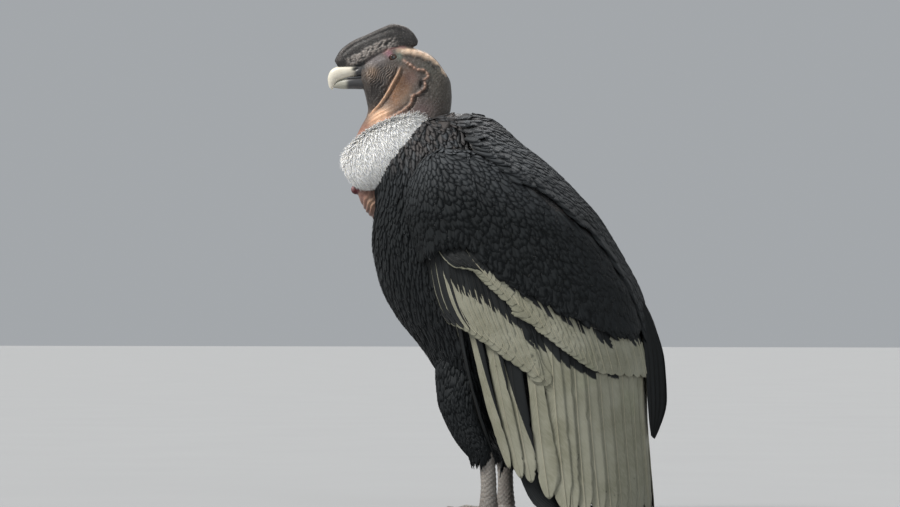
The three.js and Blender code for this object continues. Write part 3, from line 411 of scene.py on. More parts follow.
def flight_feather():
    """Long vanes: a white web where the mark is above a half, coloured a dim olive grey as painted shade, slate
    black elsewhere, with a pale shaft.
    """
    n = Nodes("flight_feather")
    _, chance, white, stain = n.mark()
    across, run = n.lie_parts()
    off = n.math("SUBTRACT", across, 0.5)
    out = n.math("ABSOLUTE", off)
    slant = n.new("ShaderNodeCombineXYZ")
    n.link(n.times(off, 5), slant.inputs[0])
    n.link(n.times(n.math("SUBTRACT", run, n.times(out, 0.12)), 170), slant.inputs[1])
    n.link(chance, slant.inputs[2])
    barbs = n.noise(1.0, 2.0, 0.65, slant.outputs[0])
    cloud = n.noise(14, 4, 0.6)
    edge = n.math("ADD", white, n.times(n.math("SUBTRACT", barbs, 0.5), 0.16))
    web = n.ramp(edge, 0.48, 0.53)
    dark = n.blend(n.times(barbs, chance), (0.006, 0.0075, 0.008), (0.026, 0.029, 0.031))
    # Painted shade: the white web is given the dim olive grey of white lying in shade; cloud, barbs, green
    # stains and specks vary it.
    pale = n.blend(n.ramp(cloud, 0.3, 0.7), (0.185, 0.182, 0.128), (0.275, 0.272, 0.212))
    pale = n.blend(n.times(n.ramp(barbs, 0.35, 0.75), 0.5), pale, (0.34, 0.335, 0.272))
    green = n.times(n.ramp(n.noise(9, 3, 0.6), 0.5, 0.75), stain)
    pale = n.blend(n.times(green, 0.8), pale, (0.30, 0.36, 0.21))
    speck = n.times(n.ramp(n.noise(70, 2, 0.5), 0.69, 0.74), n.ramp(n.noise(8, 1, 0.5), 0.54, 0.64))
    pale = n.blend(n.times(speck, 0.85), pale, (0.06, 0.055, 0.04))
    shaft = n.blend(web, (0.03, 0.028, 0.026), (0.42, 0.38, 0.28))
    colour = n.blend(n.times(n.ramp(out, 0.012, 0.02, 1.0, 0.0), 0.5), n.blend(web, dark, pale), shaft)
    n.set(Base_Color=colour, Roughness=n.ramp(barbs, 0.3, 0.7, 0.5, 0.7), Specular_IOR_Level=0.22)
    n.bump(barbs, 0.4, 0.0008)
    return n.material


def down():
    """White down of the ruff, warmer and darker where its mark says shade."""
    n = Nodes("white_down")
    _, _, shade, _ = n.mark()
    streak = n.noise(1.0, 2, 0.6, n.lie(), (3, 14, 1))
    colour = n.blend(n.times(streak, 0.6), (0.96, 0.955, 0.94), (0.90, 0.89, 0.86))
    colour = n.blend(n.times(shade, 0.7), colour, (0.74, 0.71, 0.63))
    n.set(Base_Color=colour, Roughness=0.9, Specular_IOR_Level=0.1, Sheen_Weight=0.3)
    n.set(Subsurface_Weight=0.4, Subsurface_Radius=(0.016, 0.015, 0.013))
    n.bump(streak, 0.15, 0.0008)
    return n.material


def bare_skin():
    """Bare skin: its marks hold the colour itself; fine creases and pores ride on top."""
    n = Nodes("bare_skin")
    colour, *_ = n.mark("tone")
    fine = n.noise(330, 4, 0.65)
    broad = n.noise(70, 4, 0.6)
    creases = n.new("ShaderNodeTexVoronoi", feature="DISTANCE_TO_EDGE")
    n.link(n.place(), creases.inputs["Vector"])
    creases.inputs["Scale"].default_value = 320
    crease = n.ramp(creases.outputs[0], 0.0, 0.12)
    worn = n.blend(1.0, colour, (0.5, 0.45, 0.43), "MULTIPLY")
    tone = n.blend(n.ramp(broad, 0.3, 0.7, 0.0, 0.45), colour, worn)
    flaky = n.blend(1.0, tone, (0.35, 0.33, 0.32), "SCREEN")
    tone = n.blend(n.ramp(fine, 0.45, 0.8, 0.0, 0.3), tone, flaky)
    # Painted shade: darker along the fine creases.
    deep = n.blend(1.0, tone, (0.4, 0.34, 0.3), "MULTIPLY")
    tone = n.blend(n.times(n.math("SUBTRACT", 1.0, crease), 0.35), tone, deep)
    n.set(Base_Color=tone, Roughness=n.ramp(broad, 0.3, 0.7, 0.42, 0.62), Specular_IOR_Level=0.45)
    n.set(Subsurface_Weight=0.08, Subsurface_Radius=(0.006, 0.003, 0.002))
    n.bump(n.math("ADD", n.times(fine, 0.5), n.times(crease, 0.5)), 0.5, 0.0009)
    return n.material


def bill_horn():
    """Bill: its marks hold ivory at the hooked end and dark horn towards the face."""
    n = Nodes("bill_horn")
    colour, *_ = n.mark("tone")
    grain = n.noise(60, 4, 0.6, None, (1, 1, 4))
    stained = n.blend(1.0, colour, (0.62, 0.56, 0.46), "MULTIPLY")
    n.set(Base_Color=n.blend(n.ramp(grain, 0.35, 0.75, 0.0, 0.35), colour, stained))
    n.set(Roughness=n.ramp(grain, 0.3, 0.7, 0.3, 0.48), Specular_IOR_Level=0.5)
    n.bump(grain, 0.25, 0.0006)
    return n.material


def claw_horn():
    n = Nodes("claw_horn")
    grain = n.noise(90, 3, 0.6)
    n.set(Base_Color=n.blend(grain, (0.012, 0.011, 0.010), (0.05, 0.045, 0.04)), Roughness=0.35)
    n.bump(grain, 0.3, 0.0005)
    return n.material


def eye_ball():
    """Dark brown iris round a black pupil: the eye's own map runs out from the pupil."""
    n = Nodes("eye_ball")
    _, out = n.lie_parts()
    rays = n.noise(1.0, 3, 0.6, n.lie(), (60, 4, 1))
    iris = n.blend(rays, (0.045, 0.02, 0.011), (0.12, 0.055, 0.028))
    iris = n.blend(n.ramp(out, 0.30, 0.38), iris, (0.02, 0.012, 0.01))
    n.set(Base_Color=n.blend(n.ramp(out, 0.13, 0.15), (0.002, 0.002, 0.002), iris), Roughness=0.06)
    n.set(Coat_Weight=1.0, Coat_Roughness=0.02)
    return n.material


BLACK, FLIGHT, DOWN = black_feather(), flight_feather(), down()
SKIN, HORN, CLAW, EYE = bare_skin(), bill_horn(), claw_horn(), eye_ball()


def places(rows):
    """Points given by pairs of picture numbers, a few in each row."""
    rows = np.array(rows, float)
    return np.stack([U(rows[:, 0::2]), V(rows[:, 1::2])], -1)


def patch(u, v, at, size, tilt=0.0):
    """A soft spot: 1 at its middle, 0 well outside."""
    c, s = math.cos(math.radians(tilt)), math.sin(math.radians(tilt))
    dx, dy = u - at[0], v - at[1]
    return np.exp(-(((dx * c + dy * s) / size[0]) ** 2 + ((-dx * s + dy * c) / size[1]) ** 2))


def station_lines(stations, t):
    """Smooth lines through a table of stations, which begin with their place in the picture."""
    columns = np.array(stations, float).T
    return [through(column, t) for column in (U(columns[0]), V(columns[1]), *columns[2:])]


def body_spot(angle, z, band):
    """Place on the body's own unwrap, angle across and height up, in one of three bands."""
    u = (angle / FULL) % 1.0
    v = np.clip(z / UNWRAP_HEIGHT, 0, 1)
    return np.stack([0.004 + 0.99 * u, (band + 0.01 + 0.97 * v) / 3], -1)


# Stations of a small vane and its share of the full width there; its patch of the baked map.
SMALL_RUN = np.array([0.0, 0.3, 0.6, 0.84, 1.0])
SMALL_WIDE = np.array([0.45, 0.92, 1.0, 0.74, 0.2])
PATCH = 0.003
UNWRAP_HEIGHT = 900
GIRTH_RADIUS = 150


def marks(chance, light, brown=0.0):
    """The marks of small feathers and tufts: a chance of its own for each, its painted light (a sheen that
    pales body feathers, a shade that darkens the ruff) and how brown it is.
    """
    light = np.clip(light, 0, 1)
    return np.stack(np.broadcast_arrays(chance, light, brown, 1.0), -1)


def tufts(heap, rings, spot, mark, run, around=(0, 0.5, 1, 0.5)):
    """Adds small vanes, each with a patch of its own at its spot of the baked map."""
    lie = np.zeros((1, len(run), len(around), 2))
    lie[..., 0] = around
    lie[..., 1] = np.array(run)[:, None]
    bake = spot[:, None, None, :] + (lie - 0.5) * PATCH
    heap.blades(rings, lie, mark, bake)
    return lie, bake


def small_feathers(surface, angle, z, way, size, lifts, mark, pointed, band):
    """Short vanes set in the surface by their roots, their tips lifted over the next ones."""
    out = surface.normal(angle, z)
    way = unit(way - (way * out).sum(-1, keepdims=True) * out)
    da, dz = surface.solve(angle, z, way)
    aa, az = surface.solve(angle, z, unit(np.cross(out, way)))
    t = SMALL_RUN[None, :]
    length, width = size
    low, high = (np.asarray(lift).reshape(-1, 1) for lift in lifts)
    wide = SMALL_WIDE[None, :] * (1 - np.asarray(pointed).reshape(-1, 1) * t**2 * 0.5)
    half = (width[:, None] / 2) * wide
    along = length[:, None] * t
    lift = low + (high - low) * t
    rings = np.zeros((len(angle), len(SMALL_RUN), 4, 3))
    for j, (side, up) in enumerate(((-1, 0.0), (0, 1.0), (1, 0.0), (0, -0.35))):
        a = angle[:, None] + da[:, None] * along + aa[:, None] * half * side
        h = z[:, None] + dz[:, None] * along + az[:, None] * half * side
        crown = np.where(side == 0, 0.03 * half, 0)
        rings[:, :, j] = surface.at(a, h, lift + crown + up * 0.2)
    heap = Heap()
    tufts(heap, rings, body_spot(angle, z, band), mark, SMALL_RUN)
    return heap


def even_rows(surface, low, high, step, at):
    """Angles and heights spread evenly between two heights, row by row, every other row half a step on.

    The rows keep their distance along the line at the given angle."""
    spots = []
    z, row = low, 0
    a = np.linspace(0, FULL, 721)
    while z < high:
        line = surface.flat(a, np.full_like(a, z))
        reach = np.concatenate([[0], np.cumsum(np.linalg.norm(np.diff(line, axis=0), axis=1))])
        count = max(8, int(reach[-1] / step))
        angle = np.interp((np.arange(count) + 0.5 * (row % 2)) / count * reach[-1], reach, a)
        spots.append(np.stack([angle, np.full_like(angle, z)]))
        z += step / max(1.0, np.linalg.norm(surface.slopes(np.array([at]), np.array([z]))[1][0]))
        row += 1
    angle, z = np.concatenate(spots, 1)
    angle += rng.normal(0, 0.25, len(angle)) * step / GIRTH_RADIUS
    z += rng.normal(0, 0.25, len(z)) * step
    return angle, z


def lean_way(angle, slant):
    """A direction that runs down and, as seen from either side, back by the slant."""
    side = np.where(np.sin(angle) >= 0, 1.0, -1.0)
    return np.stack([np.sin(slant) * COS, np.sin(slant) * SIN * side, -np.cos(slant)], -1)


# The slit between back and wing, and the upper and lower end of the arm's small feathers.
SLIT_LINE = spline(
    V([300, 275, 252, 235, 215, 202, 188, 177, 160, 143, 128, 118]),
    U([634, 620, 605, 594, 571, 552, 535, 517, 495, 474, 468, 458]),
)
ARM_TOP = spline([0, 0.15, 0.5, 1], V([205, 160, 143, 150]))
ARM_EDGE = spline(
    U([404, 416, 424, 436, 450, 465, 480, 499, 520, 538, 562, 590, 609, 650]),
    V([250, 254, 250, 241, 233, 240, 256, 272, 289, 300, 313, 328, 335, 336]),
)
FRONT_ANGLE = math.pi - 0.25
REAR_ANGLE = 0.06
SHELL_THICK = 22
SLIT_HEIGHTS = np.linspace(V(340), V(113), 160)
SLIT_ANGLES = wings.seen(SLIT_LINE(SLIT_HEIGHTS), SLIT_HEIGHTS)


def slit_angle(z):
    return np.interp(z, SLIT_HEIGHTS, SLIT_ANGLES)


def slit_state(z):
    """How far the slit is closed over near the shoulder, and how wide it gapes below that."""
    closed = ease((z - V(186)) / (V(172) - V(186)))
    return closed, ease((z - V(240)) / (V(212) - V(240))) * (1 - closed)


def fold(angle):
    """The angle as on the near side."""
    return np.abs(np.mod(angle + math.pi, FULL) - math.pi)


def rear_angle(z):
    return np.maximum(REAR_ANGLE, slit_angle(z) + 0.03)


def arm_lift(angle, z):
    """How far the arm's face lies under the wing surface, and the place on it: 0 to 1 back and down.

    The face rolls in at its top, below, in front and behind."""
    s = (FRONT_ANGLE - angle) / (FRONT_ANGLE - rear_angle(z))
    top = ARM_TOP(np.clip(s, 0, 1))
    low = ARM_EDGE(wings.view(angle, z))
    t = (top - z) / np.maximum(top - low, 1)
    roll = -12 * (1 - np.clip(t / 0.2, 0, 1)) ** 2 - 2 * (1 - np.clip((1 - t) / 0.12, 0, 1)) ** 2
    front = -14 * (1 - np.clip(s / 0.05, 0, 1)) ** 2
    rear = -5 * (1 - np.clip((1 - s) / 0.06, 0, 1)) ** 2
    return roll + front + rear, s, t


def dress_arm():
    """Small feathers of both arms: from scales at the shoulder to long ones over the white coverts."""
    angle, z = even_rows(wings, V(345), V(138), 7.5, math.pi / 2)
    near = fold(angle)
    lift, s, t = arm_lift(near, z)
    closed, gape = slit_state(z)
    ok = (s > -0.015) & (s < 0.972 + 0.045 * closed - 0.04 * gape) & (t > -0.01) & (t < 0.93)
    angle, near, z, lift, s, t = (x[ok] for x in (angle, near, z, lift, s, t))
    n = len(near)
    slant = np.radians(mix(2, 34, ease(s)) + mix(6, -4, np.clip(t, 0, 1))) + rng.normal(0, 0.05, n)
    size = mix(0.75, 2.1, ease(t * 1.1) * ease(0.35 + s))
    length = 31 * size**0.9 * rng.uniform(0.85, 1.15, n)
    width = 12.5 * size**0.8 * rng.uniform(0.9, 1.1, n)
    low_edge = ease((t - 0.8) / 0.12)
    length = mix(length, rng.uniform(26, 40, n), low_edge)
    # Painted sheen: the feathers are lighter towards the top and the front of the arm, where light falls on the
    # shoulder.
    light = np.clip(1.0 - t * 2.2, 0, 1) * 0.9 + 0.05
    light = light + 0.35 * np.clip(1 - s * 5, 0, 1) * np.clip(1 - t, 0, 1)
    mark = marks(rng.uniform(0, 1, n), light * rng.uniform(0.6, 1.2, n))
    full = np.where(np.sin(angle) >= 0, near, -near)
    tip_lift, *_ = arm_lift(near, z - 0.8 * length)
    lifts = lift - 1.4, np.maximum(lift, tip_lift) + mix(0.3, 1.6, low_edge)
    way = lean_way(full, slant)
    return small_feathers(wings, full, z, way, (length, width), lifts, mark, mix(0.1, 1.2, low_edge), 0)


def dress_mantle():
    """Small feathers of the back between the slits."""
    angle, z = even_rows(wings, V(305), V(113), 9, 0.3)
    near = fold(angle)
    share = near / (slit_angle(z) + 0.02)
    closed, gape = slit_state(z)
    ok = share < 0.955 + 0.16 * closed - 0.035 * gape
    angle, z, near, share = (x[ok] for x in (angle, z, near, share))
    n = len(angle)
    h = (z - V(300)) / (V(113) - V(300))
    slant = np.radians(mix(22, 46, ease(h))) + rng.normal(0, 0.05, n)
    length = mix(64, 26, ease(h)) * rng.uniform(0.85, 1.15, n)
    width = mix(27, 15, ease(h)) * rng.uniform(0.9, 1.1, n)
    # Painted sheen: the feathers are lighter up towards the neck, where light falls; the brown there is their
    # own.
    light = np.clip(0.15 + 0.7 * ease((h - 0.45) / 0.5), 0, 1) * rng.uniform(0.6, 1.2, n)
    brown = 0.5 * ease((h - 0.8) / 0.2) * rng.uniform(0, 1, n)
    mark = marks(rng.uniform(0, 1, n), light, brown)
    way = lean_way(angle, slant)
    way[:, 1] *= 1 - ease(1 - near / 0.3)
    high = 0.8 + 2.6 * ease((share - 0.7) / 0.3) * ease((h - 0.1) / 0.2)
    return small_feathers(wings, angle, z, way, (length, width), (-2.0, high), mark, 0.5, 1)


def dress_trunk():
    """Small feathers of breast and belly, where no wing lies over them."""
    angle, z = even_rows(trunk, V(452), V(114), 8, math.pi)
    near = fold(angle)
    ok = (near >= 1.2) & ((near >= 1.9) | (z >= V(180)) | (z <= V(420)))
    angle, z = angle[ok], z[ok]
    n = len(angle)
    way = lean_way(angle, np.radians(8 + 12 * ease((V(240) - z) / 300)) + rng.normal(0, 0.08, n))
    way[:, 1] *= np.abs(np.sin(angle))
    length = mix(28, 44, ease((V(200) - z) / 300)) * rng.uniform(0.8, 1.2, n)
    width = 12.5 * rng.uniform(0.85, 1.15, n)
    # Painted sheen: the feathers are lighter up towards the neck, where light falls; the brown there is their
    # own.
    light = np.clip(0.1 + 0.75 * ease((z - V(210)) / (V(130) - V(210))), 0, 1) * rng.uniform(0.5, 1.2, n)
    brown = np.clip(ease((z - V(175)) / 60), 0, 1) * rng.uniform(0, 0.9, n)
    mark = marks(rng.uniform(0, 1, n), light, brown)
    high = rng.uniform(0.4, 1.4, n)
    return small_feathers(trunk, angle, z, way, (length, width), (-2.0, high), mark, 0.9, 2)


# Long vanes: stations, width there, places across the web, and half thickness above and below it.
LONG_RUN = np.concatenate([np.linspace(0, 0.8, 25), np.linspace(0.825, 1, 12)])
LONG_WIDE = spline([0, 0.08, 0.35, 0.72, 0.88, 0.95, 0.985, 1], [0.5, 0.66, 0.95, 1, 0.88, 0.62, 0.36, 0.1])
WEB = np.array([-1, -0.8, -0.55, -0.3, -0.1, -0.035, 0, 0.035, 0.1, 0.3, 0.55, 0.8, 1])
BOTH = np.concatenate([WEB, WEB[::-1]])
THIN = 0.3
ABOVE = np.where(np.abs(WEB) < 0.02, 1.5, np.where(np.abs(WEB) < 0.05, 1.0, THIN))
BELOW = THIN + 0.1 * (ABOVE - THIN)


def vane_rings(points, outs):
    """Closed rings from the middle faces of vanes and the way out of them: (n, stations, across, 3)."""
    above, below = points + outs * ABOVE[:, None], points - outs * BELOW[:, None]
    return np.concatenate([above, below[:, :, ::-1]], 2)


def one_vane(points, out):
    return vane_rings(points[None], np.broadcast_to(out[None, :, None], (1, *points.shape)))[0]


def vane_maps(order, total, columns=12):
    """The lie of each vane, and a strip of its own on the baked map."""
    lie = np.zeros((len(order), len(LONG_RUN), len(BOTH), 2))
    lie[..., 0] = 0.5 + 0.5 * BOTH
    lie[..., 1] = LONG_RUN[:, None]
    column, row = (x[:, None, None] for x in (order % columns, order // columns))
    half = np.concatenate([0.5 + 0.5 * WEB, 0.5 - 0.5 * WEB[::-1] + 1.0]) / 2
    bake = np.zeros_like(lie)
    bake[..., 0] = (column + 0.04 + 0.92 * half) / columns
    bake[..., 1] = (row + 0.03 + 0.94 * lie[..., 1]) / math.ceil(total / columns)
    return lie, bake


def vane_marks(rings, white=0.0, stain=0.0):
    """The marks of long vanes: a chance of its own for each, where it is white and where it is stained."""
    mark = np.ones((*rings.shape[:3], 4))
    mark[..., 0] = rng.uniform(0, 1, len(rings))[:, None, None]
    mark[..., 1], mark[..., 2] = white, stain
    return mark


def ragged(n, k):
    """Small splits in the edges of the webs."""
    cut = np.ones((n, k, len(WEB)))
    for columns in ((0, 1, 2), (12, 11, 10)):
        notch = rng.uniform(0, 1, (n, k)) < 0.10
        depth = rng.uniform(0.3, 1.0, (n, k)) * 0.22 * notch
        for column, share in zip(columns, (1.0, 0.55, 0.15)):
            cut[:, :, column] -= depth * share
    return cut


def wing_vanes(root, knee, tip, width, lift, lean, dip, sink=0.0):
    """Vanes on the wing surface from root by knee to tip, all as seen: (n, 2) each."""
    n, k = len(root), len(LONG_RUN)
    shape = (np.broadcast_to(np.asarray(x, float), (n,)) for x in (width, lift, lean, dip, sink))
    width, lift, lean, dip, sink = (x[:, None, None] for x in shape)

    def spot(t):
        first, second, third = (1 - t)[..., None] ** 2, 2 * (t * (1 - t))[..., None], t[..., None] ** 2
        p = first * root[:, None] + second * knee[:, None] + third * tip[:, None]
        return wings.seen(p[..., 0], p[..., 1]), p[..., 1]

    t = np.broadcast_to(LONG_RUN, (n, k))
    angle, z = spot(t)
    run = unit(wings.flat(*spot(np.minimum(t + 0.02, 1))) - wings.flat(*spot(np.maximum(t - 0.02, 0))))
    aa, az = wings.solve(angle, z, unit(np.cross(wings.normal(angle, z), run)))
    ra, rz = wings.solve(angle, z, run)
    t = t[..., None]
    reach = width / 2 * LONG_WIDE(t) * WEB * ragged(n, k)
    sweep = 0.55 * np.abs(reach) * (1 - t**4)
    angle = angle[..., None] + aa[..., None] * reach + ra[..., None] * sweep
    z = z[..., None] + az[..., None] * reach + rz[..., None] * sweep
    up = lift - dip * t - sink * (1 - t) ** 2
    up = up + lean * reach - 0.02 * np.abs(reach)
    ripple = 0.25 * np.sin(t * 37 + rng.uniform(0, 6, (n, 1, 1))) * np.abs(WEB)
    return wings.at(angle, z, up + ripple), wings.normal(angle, z)


def along_tier(s, spots):
    """Root, knee and tip at each share along a tier."""
    return [np.stack([through(spots[:, i, k], s) for k in (0, 1)], -1) for i in range(3)]


# Root, knee and tip of some vanes of each tier, from front to back.
COVERTS = places([
    (432, 238, 441, 258, 460, 267),
    (446, 228, 458, 256, 478, 271),
    (470, 242, 484, 270, 500, 293),
    (505, 268, 520, 298, 537, 325),
    (543, 290, 556, 322, 570, 352),
    (588, 312, 596, 345, 603, 372),
    (634, 316, 640, 348, 645, 376),
])
OUTER_COVERTS = places([
    (421, 240, 423, 308, 446, 323),
    (441, 228, 450, 316, 474, 334),
    (468, 236, 484, 335, 504, 353),
    (504, 266, 522, 356, 540, 380),
    (530, 286, 546, 372, 560, 396),
])
ARM_FEATHERS = places([
    (440, 246, 452, 372, 486, 457),
    (466, 250, 482, 385, 510, 472),
    (506, 284, 514, 400, 532, 482),
    (553, 316, 557, 420, 568, 508),
    (600, 338, 606, 430, 614, 509),
    (644, 345, 646, 430, 652, 508),
])
# Front edges of the arm feathers where they are seen at one height, how much of each web is white there
# (-1 and less is none, above 1 is all of it), and how much that grows in some rows further down.
EDGE_HEIGHT = 400
WIDENING_ROWS = 40
WHITE_SOFT = 14
ARM_EDGES = [467, 474, 484, 495.5, 507, 528, 540, 552, 564, 576, 588, 600, 611, 622, 632, 641, 648]
ARM_SHARES = [-0.1, -1.3, 0.7, 1.0, 0.0] + [1.3] * 12
ARM_WIDENING = [0.0, 0.0, 0.4, 0.4, 0.8] + [0.0] * 12
# Where white begins on each tier: height in the picture for a place across.
WHITE_COVERTS = spline(
    [430, 440, 452, 464, 478, 499, 520, 538, 562, 590, 609, 650],
    [240, 236, 240, 243, 254, 268, 286, 297, 310, 325, 333, 332],
)
WHITE_SECOND = spline(
    [415, 424, 436, 447, 456, 470, 482, 492, 503, 518, 535, 551, 568, 590, 603, 650],
    [262, 262, 258, 266, 272, 279, 288, 298, 308, 321, 337, 349, 363, 371, 373, 372],
)


def arm_shape(s):
    """Width, lift, lean and dip of the arm feathers."""
    return mix(31, 38, ease(s / 0.5)), -13.6, mix(0.16, 0.11, s), 1.0


def arm_places():
    """How far along the tier each arm feather grows, for its front edge to be seen in its place."""
    s = np.linspace(0, 1, 61)
    points, _ = wing_vanes(*along_tier(s, ARM_FEATHERS), *arm_shape(s))
    u, v = seen_of(points[:, :, 0])
    edge = [np.interp(EDGE_HEIGHT, v[i], u[i]) for i in range(len(s))]
    return np.interp(ARM_EDGES, edge, s)


def seen_of(points):
    """Picture place of a point of the outlines."""
    x = points[..., 0] * COS + points[..., 1] * SIN
    return x / PIXEL + ZERO_U, ZERO_V - points[..., 2] / PIXEL


def white_mark(points, start, share, spike, widening):
    """Above 0.5 where a web is white: below the start line and outside the share of its width."""
    u, v = seen_of(points)
    share, spike, widening = (np.asarray(x)[:, None, None] for x in (share, spike, widening))
    down = (v - (start(u) + spike * np.clip((BOTH + 1) / 1.2, 0, 1.3))) / WHITE_SOFT
    web = (share + widening * (v - EDGE_HEIGHT) / WIDENING_ROWS - BOTH) / 0.2
    return 0.5 + 0.5 * np.clip(np.minimum(down, web), -1, 1)


def dress_wing():
    """The arm feathers and their coverts, tier under tier, on both sides."""
    arm, outer, inner = arm_places(), np.linspace(0, 1, 21), np.linspace(0, 1, 36)
    width, _, lean, dip = arm_shape(arm)
    # Of each tier: places, spots, stir of the tips, spikes of the white's start and their stir, line where
    # white begins, white shares and their widening, then width, lift, lean, dip and sink.
    tiers = [
        (arm, ARM_FEATHERS, 1.2, ([0, 0.4, 1], [10, 5, 2]), 1.4, WHITE_SECOND, ARM_SHARES, ARM_WIDENING,
         width, mix(-13.6, -10.5, ease((arm - 0.3) / 0.3)), lean, dip, 0.0),
        (outer, OUTER_COVERTS, 0.8, ([0, 0.3, 0.7, 1], [22, 15, 7, 4]), 2, WHITE_SECOND,
         np.interp(outer, [0, 0.05, 0.1, 0.16, 0.24, 1], [-0.8, -0.75, -0.7, -0.4, 1.3, 1.3]), 0 * outer,
         np.interp(outer, [0, 0.1, 0.3], [13, 20, 30]), mix(-6.6, -13.0, ease((outer - 0.72) / 0.26)),
         0.045, mix(0.0, 2.0, outer), 4.0),
        (inner, COVERTS, 0.7, ([0, 0.2, 1], [8, 9, 6]), 3, WHITE_COVERTS,
         np.interp(inner, [0, 0.06, 0.14, 0.2, 0.28, 1], [-0.75, -0.6, -0.5, -0.2, 1.3, 1.3]), 0 * inner,
         mix(17, 30, ease(inner / 0.4)), -2.4, 0.04, 0.0, 9.0),
    ]
    laid = []
    for s, spots, stir, spikes, spike_stir, *rest in tiers:
        root, knee, tip = along_tier(s, spots)
        tip = tip + rng.normal(0, stir, tip.shape)
        laid.append((root, knee, tip, np.interp(s, *spikes) + rng.normal(0, spike_stir, len(s)), *rest))
    total = len(arm) + len(outer) + len(inner)
    sheets, first = [], 0
    for root, knee, tip, spike, start, share, widening, *shape in laid:
        rings = vane_rings(*wing_vanes(root, knee, tip, *shape))
        lie, bake = vane_maps(np.arange(len(root)) + first, total)
        u, v = seen_of(rings)
        stain = patch(u, v, (607, 348), (26, 14)) + 0.6 * patch(u, v, (600, 400), (30, 26))
        mark = vane_marks(rings, white_mark(rings, start, share, spike, widening), stain)
        sheets.append((rings, lie, mark, bake))
        first += len(root)
    left, right = Heap(), Heap()
    for rings, *maps in sheets:
        left.blades(rings, *maps)
        right.blades(mirror(rings), *(x[:, :, ::-1] for x in maps))
    for name, heap in (("left", left), ("right", right)):
        heap.piece("flight_feathers_" + name, FLIGHT, ("secondaries_" + name,), "white_feathers")


def rounded(start, end, span):
    """Share of a long vane's width that is left towards its rounded tip."""
    return np.where(LONG_RUN > start, np.sqrt(np.clip((end - LONG_RUN) / span, 0.02, 1)), 1.0)


# A half width that limits nothing.
FREE = 1e3


def laid_vanes(line, across, out, spread, pile, widths, vanes):
    """Vanes along one line: for each, how far aside and up it lies, and the width left on its inner side."""
    keys, t = shares(widths), LONG_RUN
    centre = np.stack([through(line[:, i], t) for i in range(3)], -1)
    across, out = (unit(np.stack([np.interp(t, keys, x[:, i]) for i in range(3)], -1)) for x in (across, out))
    spread, pile = np.interp(t, keys, spread), np.interp(t, keys, pile)
    wide = through(widths, t) * rounded(0.93, 1.003, 0.073)
    rings = []
    for side, up, inner in vanes:
        middle_line = centre + across * (side * spread)[:, None] + out * (up * pile)[:, None]
        low = np.minimum(wide, inner if side >= 0 else FREE)
        high = np.minimum(wide, inner if side < 0 else FREE)
        reach = WEB * np.where(WEB < 0, low[:, None], high[:, None])
        points = middle_line[:, None] + across[:, None] * reach[..., None]
        rings.append(one_vane(points - out[:, None] * (0.015 * np.abs(reach))[..., None], out))
    return np.array(rings)


# Ridge behind the wings: its place, the angle where its vanes meet the wing's face, and their lift off that.
TERTIAL_RIDGE = [
    (625, 273, 0.2, -5),
    (655, 322, 0.19, 1),
    (666, 362, 0.16, 2.5),
    (668, 398, 0.14, 2.5),
    (662, 424, 0.09, 2.5),
    (655, 437, 0.03, 2.5),
]
# Edges of each vane as shares of the way from the ridge to the wing, and its length as a share of the ridge.
TERTIAL_VANES = [(-0.03, 0.36, 1.0), (0.2, 0.58, 0.99), (0.42, 0.8, 0.975), (0.64, 1.0, 0.955)]


def dress_tertials():
    """A ridged roof behind the folded wings: vanes between the ridge and the wing's face, on either side."""
    taper = rounded(0.9, 1.004, 0.104)
    rings = []
    for k, (low, high, end) in enumerate(TERTIAL_VANES):
        x, z, angle, lift = station_lines(TERTIAL_RIDGE, LONG_RUN * end)
        ridge = np.stack([x, np.zeros_like(x), z], -1)
        across = wings.at(angle, z, lift) - ridge
        out = unit(np.cross(across, np.gradient(ridge, axis=0)))
        share = (low + high) / 2 + (high - low) / 2 * WEB[None, :] * taper[:, None]
        points = ridge[:, None] + across[:, None] * share[..., None]
        rings.append(one_vane(points - out[:, None] * (1.6 * k + 1.2 * np.abs(WEB))[None, :, None], out))
    near = np.array(rings)[:, :, ::-1]
    return np.concatenate([near, mirror(near)])


def steps(line):
    """Direction of a line at each of its stations."""
    return unit(np.concatenate([line[1:], line[-1:]]) - np.concatenate([line[:1], line[:-1]]))


# Hand feathers: place, depth under the wing's face (first four) or distance from the bird's middle, turn
# towards lying flat, spread, pile and half width.
UNDER_WING = 4
HAND = [
    (440, 268, 27, 0, 0.4, 0.85, 9),
    (465, 330, 29, 0, 0.4, 0.85, 15),
    (492, 398, 30, 0, 0.5, 0.85, 17),
    (520, 455, 30, 0.1, 0.6, 1, 17),
    (543, 492, 90, 0.5, 0.7, 1.4, 16),
    (564, 511, 88, 0.9, 0.8, 1.2, 15),
    (600, 516, 88, 1, 1, 1, 14),
    (650, 516, 92, 1, 1.2, 1, 12),
    (716, 516, 98, 1, 1.6, 1, 6),
]


def dress_hand():
    """Hand feathers: under the arm feathers at first, then bent over and laid back along the floor."""
    spine, face = [], []
    for i, (u, v, off, twist, *_) in enumerate(HAND):
        x, z = P(u, v)
        angle = wings.seen(x, z)
        normal = wings.normal(angle, z)
        face.append(normal * (1 - twist) + UP * twist)
        if i < UNDER_WING:
            spine.append(wings.flat(angle, z) - unit(normal * [1, 1, 0]) * off)
        else:
            spine.append([(x + off * SIN) / COS, -off, z])
    spine = np.array(spine)
    run = steps(spine)
    across = unit(np.cross(run, np.array(face)))
    *_, spread, pile, widths = zip(*HAND)
    vanes = [(4.3 * (i - 3.0), 8.0 / 6 * (6 - i), FREE) for i in range(7)]
    return laid_vanes(spine, across, unit(np.cross(across, run)), spread, pile, widths, vanes)


# Tail: place, spread and half width.
TAIL = [
    (560, 385, 0.7, 14),
    (590, 440, 0.8, 20),
    (606, 480, 0.9, 24),
    (619, 504, 1, 25),
    (640, 515.4, 1, 25),
    (690, 516.4, 1, 22),
    (744, 516.4, 1, 9),
]


